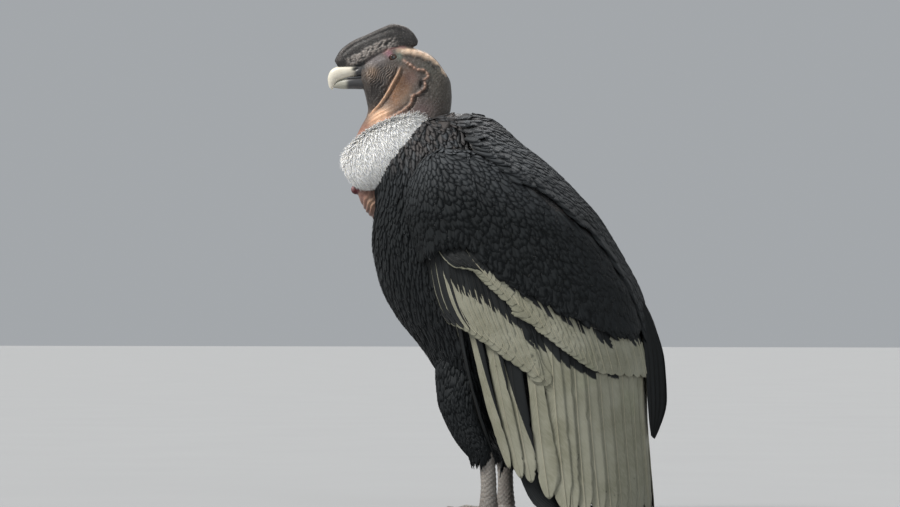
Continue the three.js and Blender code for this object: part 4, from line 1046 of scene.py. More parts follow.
def dress_tail():
    """Tail: six pairs of vanes stacked from the outermost up, bent over and laid back along the floor."""
    u, v, spread, widths = np.array(TAIL).T
    line = np.stack([U(u), 0 * u, V(v)], -1)
    across = np.tile([0.0, 1.0, 0.0], (len(TAIL), 1))
    vanes = []
    for sign in (-1, 1):
        for i in range(6):
            aside = 4 + 6.5 * i
            vanes.append((sign * aside, 2 * (5 - i), 0.7 * aside - 0.4))
    out = unit(np.cross(steps(line), across))
    return laid_vanes(line, across, out, spread, np.ones(len(TAIL)), widths, vanes)


def dark_vanes(name, rings, node):
    heap = Heap()
    lie, bake = vane_maps(np.arange(len(rings)), len(rings), 6)
    heap.blades(rings, lie, vane_marks(rings), bake)
    heap.piece(name, FLIGHT, (node,), "black_feathers")


def ruff_ring(a, grow):
    """Centre and half axes of the ruff's section, round the neck by the angle a."""
    share = (1 - np.cos(a)) / 2
    front, back = P(354, 172), P(434, 128)
    centre = np.stack([mix(front[0], back[0], share), -58 * np.sin(a), mix(front[1], back[1], share)], -1)
    out = unit(np.stack([-0.8 * np.cos(a), -np.sin(a), -0.55 * np.cos(a)], -1))
    side = np.abs(np.sin(a))
    tall = mix(np.where(share < 0.5, 26, 8), 46, side) + grow
    deep = mix(np.where(share < 0.5, 16, 8), 26, side) + grow
    up = unit(np.array([-0.5, 0, 0.85]))
    return centre, out * deep[..., None], up * tall[..., None]


def ruff_core():
    centre, out, up = ruff_ring(np.linspace(0, FULL, 97)[:-1], -0.6)
    b = circle(28, 0.5)
    return centre[:, None] + out[:, None] * np.cos(b)[None, :, None] + up[:, None] * np.sin(b)[None, :, None]


RUFF_TUFTS = 13000


def dress_ruff():
    """Down of the ruff: tufts laid downwards round its core, thinner in front and behind."""
    n = RUFF_TUFTS
    heap = Heap()
    a = rng.uniform(0, FULL, n)
    b = rng.uniform(-1.45, 1.75, n)
    keep = rng.uniform(0, 1.2, n) < np.abs(np.sin(a)) * 0.75 + 0.45
    a, b = a[keep], b[keep]
    n = len(a)
    centre, out, up = ruff_ring(a, -1.5)
    cos, sin = np.cos(b)[:, None], np.sin(b)[:, None]
    root = centre + out * cos + up * sin
    deep, tall = (np.linalg.norm(x, axis=1, keepdims=True) ** 2 for x in (out, up))
    normal = unit(out / deep * cos + up / tall * sin)
    fall = unit(-up * cos + out * sin)
    aside = unit(np.cross(fall, normal)) * rng.normal(0, 0.14, n)[:, None]
    way = unit(fall + aside + normal * rng.uniform(0.0, 0.12, n)[:, None])
    length = rng.uniform(11, 20, n)
    width = rng.uniform(1.9, 3.8, n)
    across = unit(np.cross(normal, way))
    face = unit(np.cross(way, across))
    bend = rng.uniform(-0.1, 0.4, n)
    run = (0, 0.35, 0.7, 1.0)
    rings = np.zeros((n, 4, 3, 3))
    for i, (s, wide) in enumerate(zip(run, (0.6, 1.0, 0.7, 0.08))):
        spine = root + way * (length * s)[:, None] - normal * (2.0 + bend * length * s * s * 0.5)[:, None]
        spine = spine + normal * (2.4 * s)
        half = (width * wide / 2)[:, None]
        rings[:, i] = np.stack([spine - across * half, spine + across * half, spine + face * half * 0.6], 1)
    shade = np.clip(0.15 + 0.5 * ease((-np.sin(b) - 0.1) / 0.9), 0, 1) * rng.uniform(0.3, 1, n)
    spot = np.stack([0.01 + 0.98 * a / FULL, 0.01 + 0.98 * (b + 1.6) / 3.6], -1)
    tufts(heap, rings, spot, marks(rng.uniform(0, 1, n), shade), run, (0, 1, 0.5))
    return heap


def raw_mesh(points, faces):
    mesh = bpy.data.meshes.new("raw")
    mesh.from_pydata([tuple(p) for p in points], [], faces)
    mesh.polygons.foreach_set("use_smooth", np.full(len(mesh.polygons), True))
    mesh.update()
    return mesh


def tube(rings, closed=False):
    """Points and faces of a closed surface through rings of equal count."""
    k, m, _ = rings.shape
    faces = []
    for i in range(k if closed else k - 1):
        n = (i + 1) % k
        for j in range(m):
            right = (j + 1) % m
            faces.append((i * m + j, i * m + right, n * m + right, n * m + j))
    if not closed:
        faces.append(tuple(range(m))[::-1])
        faces.append(tuple((k - 1) * m + j for j in range(m)))
    return rings.reshape(-1, 3), faces


def remeshed(tubes, voxel, smooth):
    """One closed skin round the tubes: points, quads (a triangle repeats its last corner) and normals."""
    points, faces, count = [], [], 0
    for p, f in tubes:
        points.append(p)
        faces.extend(tuple(i + count for i in face) for face in f)
        count += len(p)
    ob = bpy.data.objects.new("raw", raw_mesh(np.concatenate(points), faces))
    bpy.context.scene.collection.objects.link(ob)
    one = ob.modifiers.new("one", "REMESH")
    one.mode = "VOXEL"
    one.voxel_size = voxel
    two = ob.modifiers.new("two", "SMOOTH")
    two.factor = 0.5
    two.iterations = smooth
    out = bpy.data.meshes.new_from_object(ob.evaluated_get(bpy.context.evaluated_depsgraph_get()))
    corners = [list(face.vertices) for face in out.polygons]
    quads = np.array([c if len(c) == 4 else c + c[-1:] for c in corners])
    places, normals = np.zeros((2, len(out.vertices) * 3))
    out.vertices.foreach_get("co", places)
    out.vertices.foreach_get("normal", normals)
    bpy.data.objects.remove(ob)
    return places.reshape(-1, 3), quads, normals.reshape(-1, 3)


def profile_tube(stations, count, power, rows, grow=0.0):
    """Closed loft of the head's kind. Stations: inner and outer point of the profile, and half width."""
    t = np.linspace(0, 1, rows)
    stations = np.array(stations, float)
    x_in, z_in, x_out, z_out, wide = (
        through(turn(stations[:, i]), t) for i, turn in enumerate((U, V, U, V, np.asarray))
    )
    inner, outer = np.stack([x_in, z_in], -1), np.stack([x_out, z_out], -1)
    a = circle(count, 0.5)
    side, up = (np.sign(x) * np.abs(x) ** (2 / power) for x in (np.cos(a), np.sin(a)))
    mid = (inner + outer) / 2
    half = (outer - inner) / 2
    half = half * (1 + grow / np.maximum(np.linalg.norm(half, axis=1, keepdims=True), 1))
    x, z = (mid[:, None, i] + half[:, None, i] * up for i in (0, 1))
    return tube(np.stack([x, (wide + grow)[:, None] * side, z], -1))


def ball(x, y, z, radius, rows, around, trim, squash=1.0):
    """Rings of a ball about the line across the bird, left open at its poles by the trim."""
    b = np.linspace(trim, math.pi - trim, rows)[:, None]
    a = circle(around)
    level = y + radius * np.cos(b) * np.ones(around)
    upright = z + radius * np.sin(b) * np.sin(a) * squash
    return np.stack([x + radius * np.sin(b) * np.cos(a), level, upright], -1)


# Head, comb and crop: inner and outer point of the profile, and half width.
BULB_AT = (353, 189)
HEAD = [
    (359.5, 87, 358.5, 62, 13),
    (361.5, 90, 369, 56, 20),
    (362.5, 94, 384, 49, 26),
    (363.5, 98, 400, 46, 29),
    (364.5, 103, 415, 48, 31),
    (365.5, 109, 430, 55, 34),
    (364, 116, 441, 68, 38),
    (359, 125, 449, 83, 43),
    (354, 135, 450, 97, 48),
    (349, 148, 449, 109, 54),
    (348, 165, 444, 122, 60),
    (356, 180, 436, 140, 56),
]
COMB = [
    (336, 67, 332, 60, 6),
    (344, 68, 337.5, 50, 10),
    (356, 68, 350.5, 40, 13),
    (369, 66, 364, 34, 14.5),
    (381, 60, 377, 28, 14),
    (392, 56, 391, 23, 12),
    (402, 50, 403, 25.5, 9),
    (411, 46.5, 412, 33, 6.5),
    (415, 44.5, 416, 40, 3),
]
CROP = [
    (352, 185, 354, 178, 14),
    (355, 195, 368, 178, 24),
    (364, 212, 385, 188, 30),
    (374, 221, 392, 205, 26),
    (378, 224, 388, 219, 12),
]
BILL_UPPER = [
    (364, 76, 364, 63, 13),
    (350, 76.5, 350, 64.5, 12),
    (342, 78, 342, 65, 10.5),
    (335.5, 80.5, 333.5, 66.5, 8.5),
    (332.5, 83, 327.5, 71, 6.5),
    (331.5, 86.2, 325.3, 78.5, 4.5),
    (329.8, 89.5, 326.6, 86.5, 2),
]
BILL_LOWER = [
    (364, 89, 364, 76.2, 12),
    (351, 88.5, 351, 76.7, 11),
    (342, 88.5, 342, 78.2, 8),
    (335, 87.8, 335, 80.8, 5),
    (331.2, 87, 331.2, 84.8, 2.5),
]


def pixels(points):
    """Picture place of points of the unturned head."""
    return points[:, 0] / PIXEL + ZERO_U, ZERO_V - points[:, 2] / PIXEL


def line_distance(u, v, line):
    """Distance to a line through a few picture places, and how far along it, in pixels."""
    t = np.linspace(0, 1, 12 * (len(line) - 1) + 1)
    x, y = (through(part, t) for part in zip(*line))
    best, where, reach = np.full(u.shape, 1e9), np.zeros(u.shape), 0.0
    for i in range(len(t) - 1):
        dx, dy = x[i + 1] - x[i], y[i + 1] - y[i]
        long = math.hypot(dx, dy)
        s = np.clip(((u - x[i]) * dx + (v - y[i]) * dy) / max(long * long, 1e-9), 0, 1)
        d = np.hypot(u - x[i] - s * dx, v - y[i] - s * dy)
        closer = d < best
        best = np.where(closer, d, best)
        where = np.where(closer, reach + s * long, where)
        reach += long
    return best, where, reach


def moved(line, du, dv):
    return [(u + du, v + dv) for u, v in line]


FOLD_CHEEK = [(399, 66), (396, 74), (390, 85), (384, 96), (377, 106), (368, 115)]
FOLD_EAR = [
    (401, 60), (409, 66), (415, 70), (422, 71), (426, 77), (422, 81), (423, 87),
    (417, 94), (411, 97), (409, 104), (400, 112), (386, 120), (372, 127),
]
BROW = [(382, 53), (385, 50.5), (390, 48), (396, 46.5), (402, 47)]
CROWN_PAD = [(398, 50.5), (410, 51.5), (422, 54.5), (431, 59.5), (438, 67), (444, 76)]
THROAT_FOLD = [(364, 70), (367, 82), (369, 95), (371, 106)]
COMB_EDGE = [
    (336, 60), (341, 50), (352, 41), (364, 34.5), (376, 29), (392, 24), (403, 26), (412, 33), (416, 41),
]
COMB_GROOVE = [(338, 58), (343, 51), (354, 43), (366, 37.5), (378, 32.5), (391, 28.5), (402, 31), (410, 37)]
COMB_NODULES = [(345, 63), (355, 58.5), (365, 52.5), (375, 47.5), (385, 43.5), (397, 40.5)]
# Raised and sunk lines of the head: line, width, height, unevenness and its pitch.
FOLDS = [
    (FOLD_CHEEK, 1.5, 3.4),
    (moved(FOLD_CHEEK, -2.6, -0.6), 1.5, -2.2),
    (moved(FOLD_CHEEK, 2.8, 0.8), 1.6, -1.4),
    (FOLD_EAR, 1.5, 3.2, 0.35, 4.5),
    (moved(FOLD_EAR[5:11], 3.0, 0.4), 1.5, -2.6, 0.3, 5),
    (moved(FOLD_EAR[8:], -2.8, -0.6), 1.7, -1.6),
    (BROW, 1.6, 3.0),
    (CROWN_PAD, 2.8, 2.6),
    (moved(CROWN_PAD[:5], -0.5, 5.2), 1.6, -2.0, 0.2, 6),
    (THROAT_FOLD, 1.4, 1.6),
]
# Broad colours of face and neck: colour, middle, size, tilt and strength.
FACE_TINTS = [
    ((0.16, 0.105, 0.10), (418, 110), (16, 10), 0, 1),
    ((0.13, 0.125, 0.10), (427, 68), (12, 7), 30, 1),
    ((0.028, 0.022, 0.019), (376, 93), (11, 16), 12, 1.7),
    ((0.05, 0.04, 0.036), (378, 68), (8, 6), 0, 1),
    ((0.30, 0.19, 0.11), (370, 72), (5, 6), 0, 0.9),
    ((0.40, 0.19, 0.08), (398, 90), (8, 15), 22, 1.9),
    ((0.24, 0.13, 0.10), (408, 78), (7, 7), 0, 1),
    ((0.27, 0.19, 0.13), (404, 102), (8, 9), 0, 0.8),
    ((0.74, 0.46, 0.29), (378, 118), (12, 8), -38, 1.5),
    ((0.55, 0.27, 0.19), (362, 136), (12, 10), -40, 1.3),
    ((0.50, 0.26, 0.19), (388, 122), (12, 4), -28, 1),
]


def tinted(tone, colour, share):
    share = np.clip(share, 0, 1)[:, None]
    return tone * (1 - share) + np.array(colour) * share


def plain(colour, points):
    return np.tile(np.array(colour), (len(points), 1))


def head_skin():
    """One skin over head, neck, comb, crop and bulb, with its folds, nodules and colours."""
    tubes = [profile_tube(HEAD, 72, 2.2, 90, -0.5), profile_tube(COMB, 48, 2.4, 60)]
    tubes.append(profile_tube(CROP, 40, 2, 30))
    for sign in (-1, 1):
        tubes.append(tube(ball(EYE_SPOT[0], sign * 14.5, EYE_SPOT[1], 10.5, 16, 24, 0.1, 0.9)))
    x, z = P(*BULB_AT)
    tubes.append(tube(ball(x, -6, z, 8.5, 14, 24, 0.1)))
    points, quads, normals = remeshed(tubes, 1.35, 3)
    u, v = pixels(points)
    y = np.abs(points[:, 1])
    flank = ease((y - 6) / 10)
    lift = np.zeros(len(points))

    def spot(*where):
        return patch(u, v, *where)

    for line, width, height, *uneven in FOLDS:
        beads, pitch = uneven or (0.0, 5.0)
        d, where, reach = line_distance(u, v, line)
        ends = ease(where / 6) * ease((reach - where) / 6)
        turn = where / pitch * FULL
        wave = 1 + beads * (np.sin(turn) + 0.8 * np.sin(0.43 * turn + 1.7) + 0.5 * np.sin(1.71 * turn + 0.6))
        broad = width * (1 + 0.5 * beads * np.sin(0.61 * turn + 0.9))
        lift = lift + height * wave * ends * flank * np.exp(-((d / broad) ** 2))
    # Ear: a cup with a rim behind it.
    lift -= 4.5 * flank * spot((419.5, 84), (1.9, 3.4), 12)
    lift += 1.8 * flank * spot((424, 86), (1.3, 4.5), 12)
    # Cheek and throat creases: bundles of nearly upright lines.
    cheek = spot((388, 72), (9, 7)) + spot((370, 76), (6, 8)) + 0.8 * spot((380, 90), (9, 13))
    cheek = cheek * flank * (u > 356)
    wander = 1.3 * np.sin(v / 5.1 + u / 9) + 0.9 * np.sin(v / 2.7 - u / 4)
    broken = 0.55 + 0.45 * np.sin(u / 1.9 + v / 3.1) * np.sin(v / 2.3 - u / 4.7 + 1)
    broken = broken + 0.25 * np.sin(u / 0.9 - v / 1.7)
    creased = np.clip(0.35 + broken, 0, 1.3) * np.sin((u + 0.45 * v + 1.6 * wander) / 2.3 * FULL / 1.35)
    lift += 1.2 * cheek * creased
    lift += 0.5 * cheek * np.sin((u - 0.25 * v + wander) / 3.7 * FULL)
    # Neck: slack oblique wrinkles, finer behind.
    nape = ease((u - 405) / 20) * ease((v - 56) / 10) * (1 - ease((v - 120) / 12)) * flank
    lift += 0.14 * nape * np.sin((0.9 * u + 0.7 * v + wander) / 3.2 * FULL / 1.4)
    bulge = spot((378, 117), (11, 7), -40)
    lift += 2.6 * bulge * flank
    lift += 0.7 * bulge * flank * np.sin((u * 0.55 + v) / 3.3 * FULL / 1.2)
    lift -= 1.6 * spot((402, 86), (8, 13), 20) * flank
    # Comb: a smooth rim over a groove, with rows of nodules along its sides.
    comb_side = ease((y - 3) / 5)
    d, where, reach = line_distance(u, v, COMB_GROOVE)
    lift -= 1.9 * comb_side * np.exp(-((d / 1.7) ** 2)) * ease(where / 8) * ease((reach - where) / 12)
    d, where, reach = line_distance(u, v, COMB_NODULES)
    band = np.exp(-((d / 5.2) ** 4)) * comb_side * ease((where + 3) / 8) * ease((reach - where + 2) / 11)
    nodes = rng.uniform(0, 1, (150, 3))
    keys = np.linspace(0, 1, len(COMB_NODULES))
    nu, nv = (spline(keys, part)(nodes[:, 0]) for part in zip(*COMB_NODULES))
    nv = nv + (nodes[:, 1] - 0.5) * 10.5
    lumps = np.zeros(len(points))
    for k in range(len(nu)):
        close = (np.abs(u - nu[k]) < 4) & (np.abs(v - nv[k]) < 4) & (y > 2.5)
        du, dv = u[close] - nu[k], v[close] - nv[k]
        d2 = (du * 0.9 - dv * 0.43) ** 2 / 3.4 + (du * 0.43 + dv * 0.9) ** 2
        lumps[close] = np.maximum(lumps[close], np.exp(-d2 / (0.85 + 0.7 * nodes[k, 2]) ** 2))
    lift += 2.9 * lumps * band - 0.7 * band
    # Lids: a ring round the eye over an almond opening, and two creases round them.
    eu, ev = u - EYE_AT[0], v - EYE_AT[1]
    around = np.hypot(eu / 4.0, (ev + 0.12 * eu) / 2.7)
    lift += 1.0 * (np.exp(-(((around - 1.15) / 0.22) ** 2)) * flank)
    lift = np.where((around < 0.93) & (flank > 0.6), -5.0, lift)
    creases = ((0.5, 1.75), (0.4, 2.2))
    lift += sum(high * flank * np.exp(-(((around - at) / 0.12) ** 2)) for high, at in creases)
    # Crop skin: lobes and wrinkles.
    crop = spot((372, 205), (14, 14)) * (v > 184)
    lift += 1.3 * crop * np.sin((0.9 * u + 0.55 * v + wander) / 4.6 * FULL / 1.3)
    lift += 3.0 * spot((388, 209), (4.5, 5)) + 2.4 * spot((374, 204), (6, 6)) + 1.5 * spot((366, 197), (4, 5))
    points = points + normals * lift[:, None]

    # Colours by named zones, each a soft spot or the reach of a line.
    tone = plain((0.105, 0.085, 0.072), points)

    def tint(colour, share):
        nonlocal tone
        tone = tinted(tone, colour, share)

    def by_line(line, width, power=2):
        d, where, _ = line_distance(u, v, line)
        return np.exp(-((d / width) ** power)), where

    tint((0.12, 0.105, 0.085), ease((u - 418) / 14))
    for colour, at, size, tilt, strength in FACE_TINTS:
        tint(colour, spot(at, size, tilt) * strength)
    near, _ = by_line(FOLD_CHEEK, 1.5)
    tint((0.62, 0.38, 0.24), near * flank * ease((v - 64) / 12))
    near, where = by_line(FOLD_EAR, 1.4)
    uneven = 0.65 + 0.2 * np.sin(where * 1.1) + 0.15 * np.sin(where * 2.3 + 1)
    tint((0.48, 0.28, 0.20), near * flank * uneven)
    # Painted shade in the ear's cup and in the folds below it.
    tint((0.03, 0.022, 0.02), 1.1 * flank * spot((420, 84), (2.2, 4.5), 12))
    tint((0.03, 0.022, 0.02), 0.6 * flank * spot((421, 92), (3, 3)))
    # The crown fold's own cream colour, brightened into a painted highlight along its top.
    d, where, _ = line_distance(u, v, CROWN_PAD)
    pad = mix(4.0, 1.5, ease((u - 424) / 12)) + 0.7 * np.sin(where / 1.9)
    tint((0.78, 0.58, 0.42), np.exp(-((d / pad) ** 4)) * (0.85 + 0.15 * np.sin(where)))
    tint((0.36, 0.20, 0.18), by_line(BROW, 2.0)[0])
    tint((0.24, 0.06, 0.10), flank * spot((386.5, 54), (3.4, 3.4)) * 1.3)
    tint((0.15, 0.125, 0.13), spot((374, 59), (11, 6), -15))
    tint((0.17, 0.20, 0.16), flank * spot((397.5, 56), (3.4, 4.5)) * 1.2)
    # Painted highlight on the raised cheek creases.
    tint((0.40, 0.31, 0.25), cheek * np.clip(creased, 0, 1) ** 2 * ease((88 - v) / 14))
    tint((0.035, 0.035, 0.036), (v < 69) * (u < 363) * 1.0)
    comb = (v < 45.5) | ((v < 47) & (u < 396)) | ((v < 70) & (u < 350))
    comb |= (v < 63 - (u - 345) * 0.42) & (u < 392)
    tint((0.042, 0.038, 0.036), comb * 1.0)
    # Painted highlight along the comb's top edge, where light falls from above.
    tint((0.10, 0.085, 0.078), comb * by_line(COMB_EDGE, 1.6)[0])
    # Painted highlight on the tops of the comb's nodules, painted shade between them.
    tint((0.50, 0.45, 0.41), lumps**1.6 * band * 0.95)
    tint((0.018, 0.016, 0.016), (1 - lumps) * band * 0.5)
    # Crop and bulb.
    tint((0.40, 0.21, 0.16), (v > 178) * 1.0)
    tint((0.33, 0.24, 0.13), (v > 184) * spot((388, 209), (5, 6)) * 1.2)
    tint((0.42, 0.27, 0.18), (v > 184) * spot((372, 203), (6, 7)))
    bulb = np.hypot(u - BULB_AT[0], v - BULB_AT[1]) < 5.4
    tint((0.16, 0.012, 0.02), bulb * 1.0)
    # Painted highlight on the bulb's upper front.
    tint((0.48, 0.25, 0.25), bulb * spot((350.5, 187), (1.8, 2.5)) * 1.1)
    shade = np.clip(0.62 + 0.16 * lift, 0.35, 1.15)[:, None]
    return turned(points), quads, np.clip(tone * shade, 0, 1)


def eyes():
    for name, sign in (("left", -1), ("right", 1)):
        rings = ball(EYE_SPOT[0], sign * 17.0, EYE_SPOT[1], 8.0, 20, 32, 0.02)
        rings = turned(rings[::-1] if sign < 0 else rings)
        lie = np.stack(np.broadcast_arrays(np.arange(32) / 32, np.linspace(0, 1, 20)[:, None]), -1)[None]
        heap = Heap()
        heap.blades(rings[None], lie, np.ones((1, 4)), lie * 0.98 + 0.01)
        heap.piece("eye_ball_" + name, EYE, ("eye_" + name,), "eye")


def bill(stations, colour, dark_from, dark_over):
    """Bill half: a smooth loft with its colours by place, pinched in at the nostril and darkened there with
    painted shade for its opening.
    """
    points, faces = profile_tube(stations, 48, 2.1, 70)
    u, v = pixels(points)
    nostril = patch(u, v, (353, 69), (2.6, 1.5), -12)
    tone = tinted(plain(colour, points), (0.045, 0.045, 0.048), ease((u - dark_from) / dark_over))
    tone = tinted(tone, (0.5, 0.48, 0.40), 0.3 * ease((v - 84) / 5) * (u < 333))
    points[:, 1] *= 1 - 0.35 * nostril
    # Painted shade: the nostril's opening is darkened to near black.
    return turned(points), faces, tinted(tone, (0.01, 0.01, 0.01), nostril)


def coloured(name, points, faces, tone, material, replaces, slot):
    mesh = raw_mesh(place(points), [tuple(f) for f in faces])
    mark = mesh.attributes.new("tone", "FLOAT_COLOR", "POINT")
    colours = np.concatenate([tone, np.ones((len(tone), 1))], 1)
    mark.data.foreach_set("color", colours.astype(np.float32).ravel())
    show(name, mesh, material, replaces)


# Legs. Shank: place, half depth, half width. Thigh: the same with its distance from the middle before them.
LEG_Y = 74
FOOT = float(U(497))
GROUND = 0.1
SHANK = [
    (494, 450, 13, 10),
    (496, 466, 13.5, 11),
    (497, 484, 13.5, 11),
    (497, 497, 15, 13),
    (497, 505, 17, 15),
]
THIGH = [
    (492, 305, 58, 22, 22),
    (480, 336, 46, 40, 24),
    (468, 365, 50, 46, 27),
    (466, 398, 58, 38, 31),
    (473, 424, 66, 32, 27),
    (482, 442, 72, 28, 23),
    (489, 455, 75, 20, 18),
]
TOES = [("inner", -0.52, 76, 9), ("middle", 0.0, 104, 10), ("outer", 0.52, 78, 9), ("hind", math.pi, 42, 8)]


def stacked(x, y, z, deep, wide, count):
    """Level ellipses, one for each height."""
    x, y, z, deep, wide = (line[:, None] for line in np.broadcast_arrays(x, y, z, deep, wide))
    a = circle(count)
    return np.stack(np.broadcast_arrays(x + deep * np.cos(a), y + wide * np.sin(a), z), -1)


def bar(angle, reach, high, half, count, power):
    """Closed rings along a line from the foot's middle, at an angle from straight ahead."""
    way = np.array([-math.cos(angle), -math.sin(angle), 0])
    side = np.array([-way[1], way[0], 0])
    centre = np.array([FOOT, -LEG_Y, 0]) + way * reach[:, None]
    centre[:, 2] = high
    b = circle(count)
    cos, sin = (np.sign(x) * np.abs(x) ** (2 / power) for x in (np.cos(b), np.sin(b)))
    return centre[:, None] + side * (half[:, None] * cos)[..., None] + UP * (half[:, None] * sin)[..., None]


def leg_surface():
    """Shank and toes with their scutes, one leg on the near side."""
    x, z, deep, wide = station_lines(SHANK, np.linspace(0, 1, 90))
    h = np.linspace(0, 20, 20)
    pad = spline([0.1, 6, 14, 20], [16, 19, 18, 15])(h)
    tubes = [
        tube(stacked(x, -LEG_Y, z, deep, wide, 40)),
        tube(stacked(FOOT, -LEG_Y, np.maximum(h, GROUND), pad, pad, 40)),
    ]
    t = np.linspace(0, 1, 60)
    for _, angle, length, thick in TOES:
        half = thick * mix(1.05, 0.72, t) * (1 + 0.09 * np.cos(t * math.pi * 6))
        tubes.append(tube(bar(angle, length * t, half + GROUND, half, 24, 2.4)))
    points, quads, normals = remeshed(tubes, 1.8, 2)
    # Scutes: broad bands across the shank's front and the tops of the toes, small round scales elsewhere.
    x, y, z = points[:, 0] - FOOT, points[:, 1] + LEG_Y, points[:, 2]
    front = ease((-x - 2) / 8) * ease((z - 22) / 8)
    bands = np.abs(np.sin(z / 7.5 * math.pi + 0.5 * np.sin(y / 5)))
    lift = 0.9 * front * (np.sqrt(bands) - 0.7)
    reach = np.hypot(x, y)
    on_toe = (1 - ease((z - 20) / 5)) * ease((reach - 12) / 8) * ease((z - 4) / 6)
    lift += 0.8 * on_toe * (np.sqrt(np.abs(np.sin(reach / 6.5 * math.pi))) - 0.7)
    small = (1 - front) * (1 - on_toe) * ease((z - 3) / 4)
    lift += 0.45 * small * np.sin(z / 4.2 * math.pi + np.arctan2(y, x) * 2) * np.sin(np.arctan2(y, x) * 9)
    points = points + normals * lift[:, None]
    points[:, 2] = np.maximum(points[:, 2], GROUND)
    # Painted shade and light: darker in the grooves between the scutes and lighter on their raised tops; the
    # whole leg is also darker towards the foot.
    tone = plain((0.27, 0.25, 0.225), points) * np.clip(0.8 + 0.5 * lift, 0.3, 1.3)[:, None]
    return points, quads, tone * mix(0.8, 1.1, ease((z - 20) / 60))[:, None]


def claws():
    t = np.linspace(0, 1, 24)
    for name, sign in (("left", 1), ("right", -1)):
        for toe, angle, length, thick in TOES:
            high = mix(thick * 0.95, 1.5, t * t) + 0.4
            rings = bar(angle, length - 5 + 19 * t, high, mix(thick * 0.5, 0.9, t), 20, 2)
            rings[..., 2] = np.maximum(rings[..., 2], 0.3)
            points, faces = tube(rings if sign > 0 else mirror(rings[None])[0])
            mesh = raw_mesh(place(points), faces)
            show(f"talon_{toe}_{name}", mesh, CLAW, (f"claw_{toe}_{name}",))


THIGH_FEATHERS = 2400
THIGH_RADIUS = 30
FRINGE = 70


def dress_thighs():
    """Narrow feathers down the thighs, hanging free in a ragged fringe over the shanks."""
    n = THIGH_FEATHERS
    grid = np.linspace(0, 1, 200)
    x, z, side, deep, wide = station_lines(THIGH, grid)
    t = np.sort(rng.uniform(0.05, 0.97, n))
    a = rng.uniform(0, FULL, n)

    def at(t, a, lift):
        cx, cz, cs, cd, cw = (np.interp(t, grid, line) for line in (x, z, side, deep, wide))
        return np.stack([cx + (cd + lift) * np.cos(a), -cs + (cw + lift) * np.sin(a), cz], -1)

    length = rng.uniform(32, 50, n) * mix(1.0, 0.62, t)
    width = rng.uniform(6, 10, n)
    span = float(z[0] - z[-1])
    end = np.array([x[-1], -side[-1]])
    rings = np.zeros((n, 5, 4, 3))
    spread = rng.normal(0, 0.08, n)
    for i, (s, w) in enumerate(zip(SMALL_RUN, SMALL_WIDE)):
        run = t + length * s / span
        over = np.maximum(run - 1.0, 0) * span
        for j, (k, up) in enumerate(((-1, 0.0), (0, 0.8), (1, 0.0), (0, -0.3))):
            p = at(np.minimum(run, 1.0), a + spread * s + width * w / 2 / THIGH_RADIUS * k, -2.0 + 2.6 * s + up)
            p[:, :2] += (end - p[:, :2]) * (over / FRINGE)[:, None]
            p[:, 2] -= over
            rings[:, i, j] = p
    mark = marks(rng.uniform(0, 1, n), rng.uniform(0, 0.1, n))
    heap = Heap()
    lie, bake = tufts(heap, rings, body_spot(a, np.interp(t, grid, z), 2), mark, SMALL_RUN)
    heap.blades(mirror(rings), lie[:, :, ::-1], mark, bake[:, :, ::-1])
    return heap


def core():
    """The body under the feathers: trunk, arms, back and thighs as one skin."""
    z = np.linspace(trunk.z[0], trunk.z[-1], 60)
    tubes = [tube(trunk.at(*np.meshgrid(circle(64, 0.5), z), np.full((60, 64), -3.5)))]
    for sign in (1, -1):
        rings = []
        for one in np.linspace(0, 1, 40):
            z_low = float(V(290))
            for _ in range(16):
                a_low = mix(FRONT_ANGLE, float(rear_angle(z_low)), one)
                z_low = mix(z_low, float(ARM_EDGE(wings.view(a_low, z_low))), 0.5)
            z = np.linspace(float(ARM_TOP(one)), z_low, 24)
            a = mix(FRONT_ANGLE, rear_angle(z), one)
            lift, *_ = arm_lift(a, z)
            inner = wings.at(a, z, np.full_like(lift, -SHELL_THICK + 2.0))
            rings.append(np.concatenate([wings.at(a, z, lift - 3.0), inner[::-1]]))
        rings = np.array(rings)
        rings[..., 1] *= sign
        tubes.append(tube(rings if sign > 0 else rings[:, ::-1]))
    rings = []
    z = np.linspace(float(V(116)), float(V(300)), 30)
    for one in np.linspace(-1, 1, 40):
        outer, inner = (wings.at(one * slit_angle(z), z, np.full(30, -under)) for under in (3.0, 13.0))
        rings.append(np.concatenate([outer, inner[::-1]]))
    tubes.append(tube(np.array(rings)))
    x, z, side, deep, wide = station_lines(THIGH, np.linspace(0, 1, 50))
    rings = stacked(x, -side, z, deep - 2.5, wide - 2.5, 48)
    tubes += [tube(rings[::-1]), tube(rings * [1, -1, 1])]
    points, quads, _ = remeshed(tubes, 6.0, 3)
    return points, quads, plain((0.012, 0.013, 0.014), points)


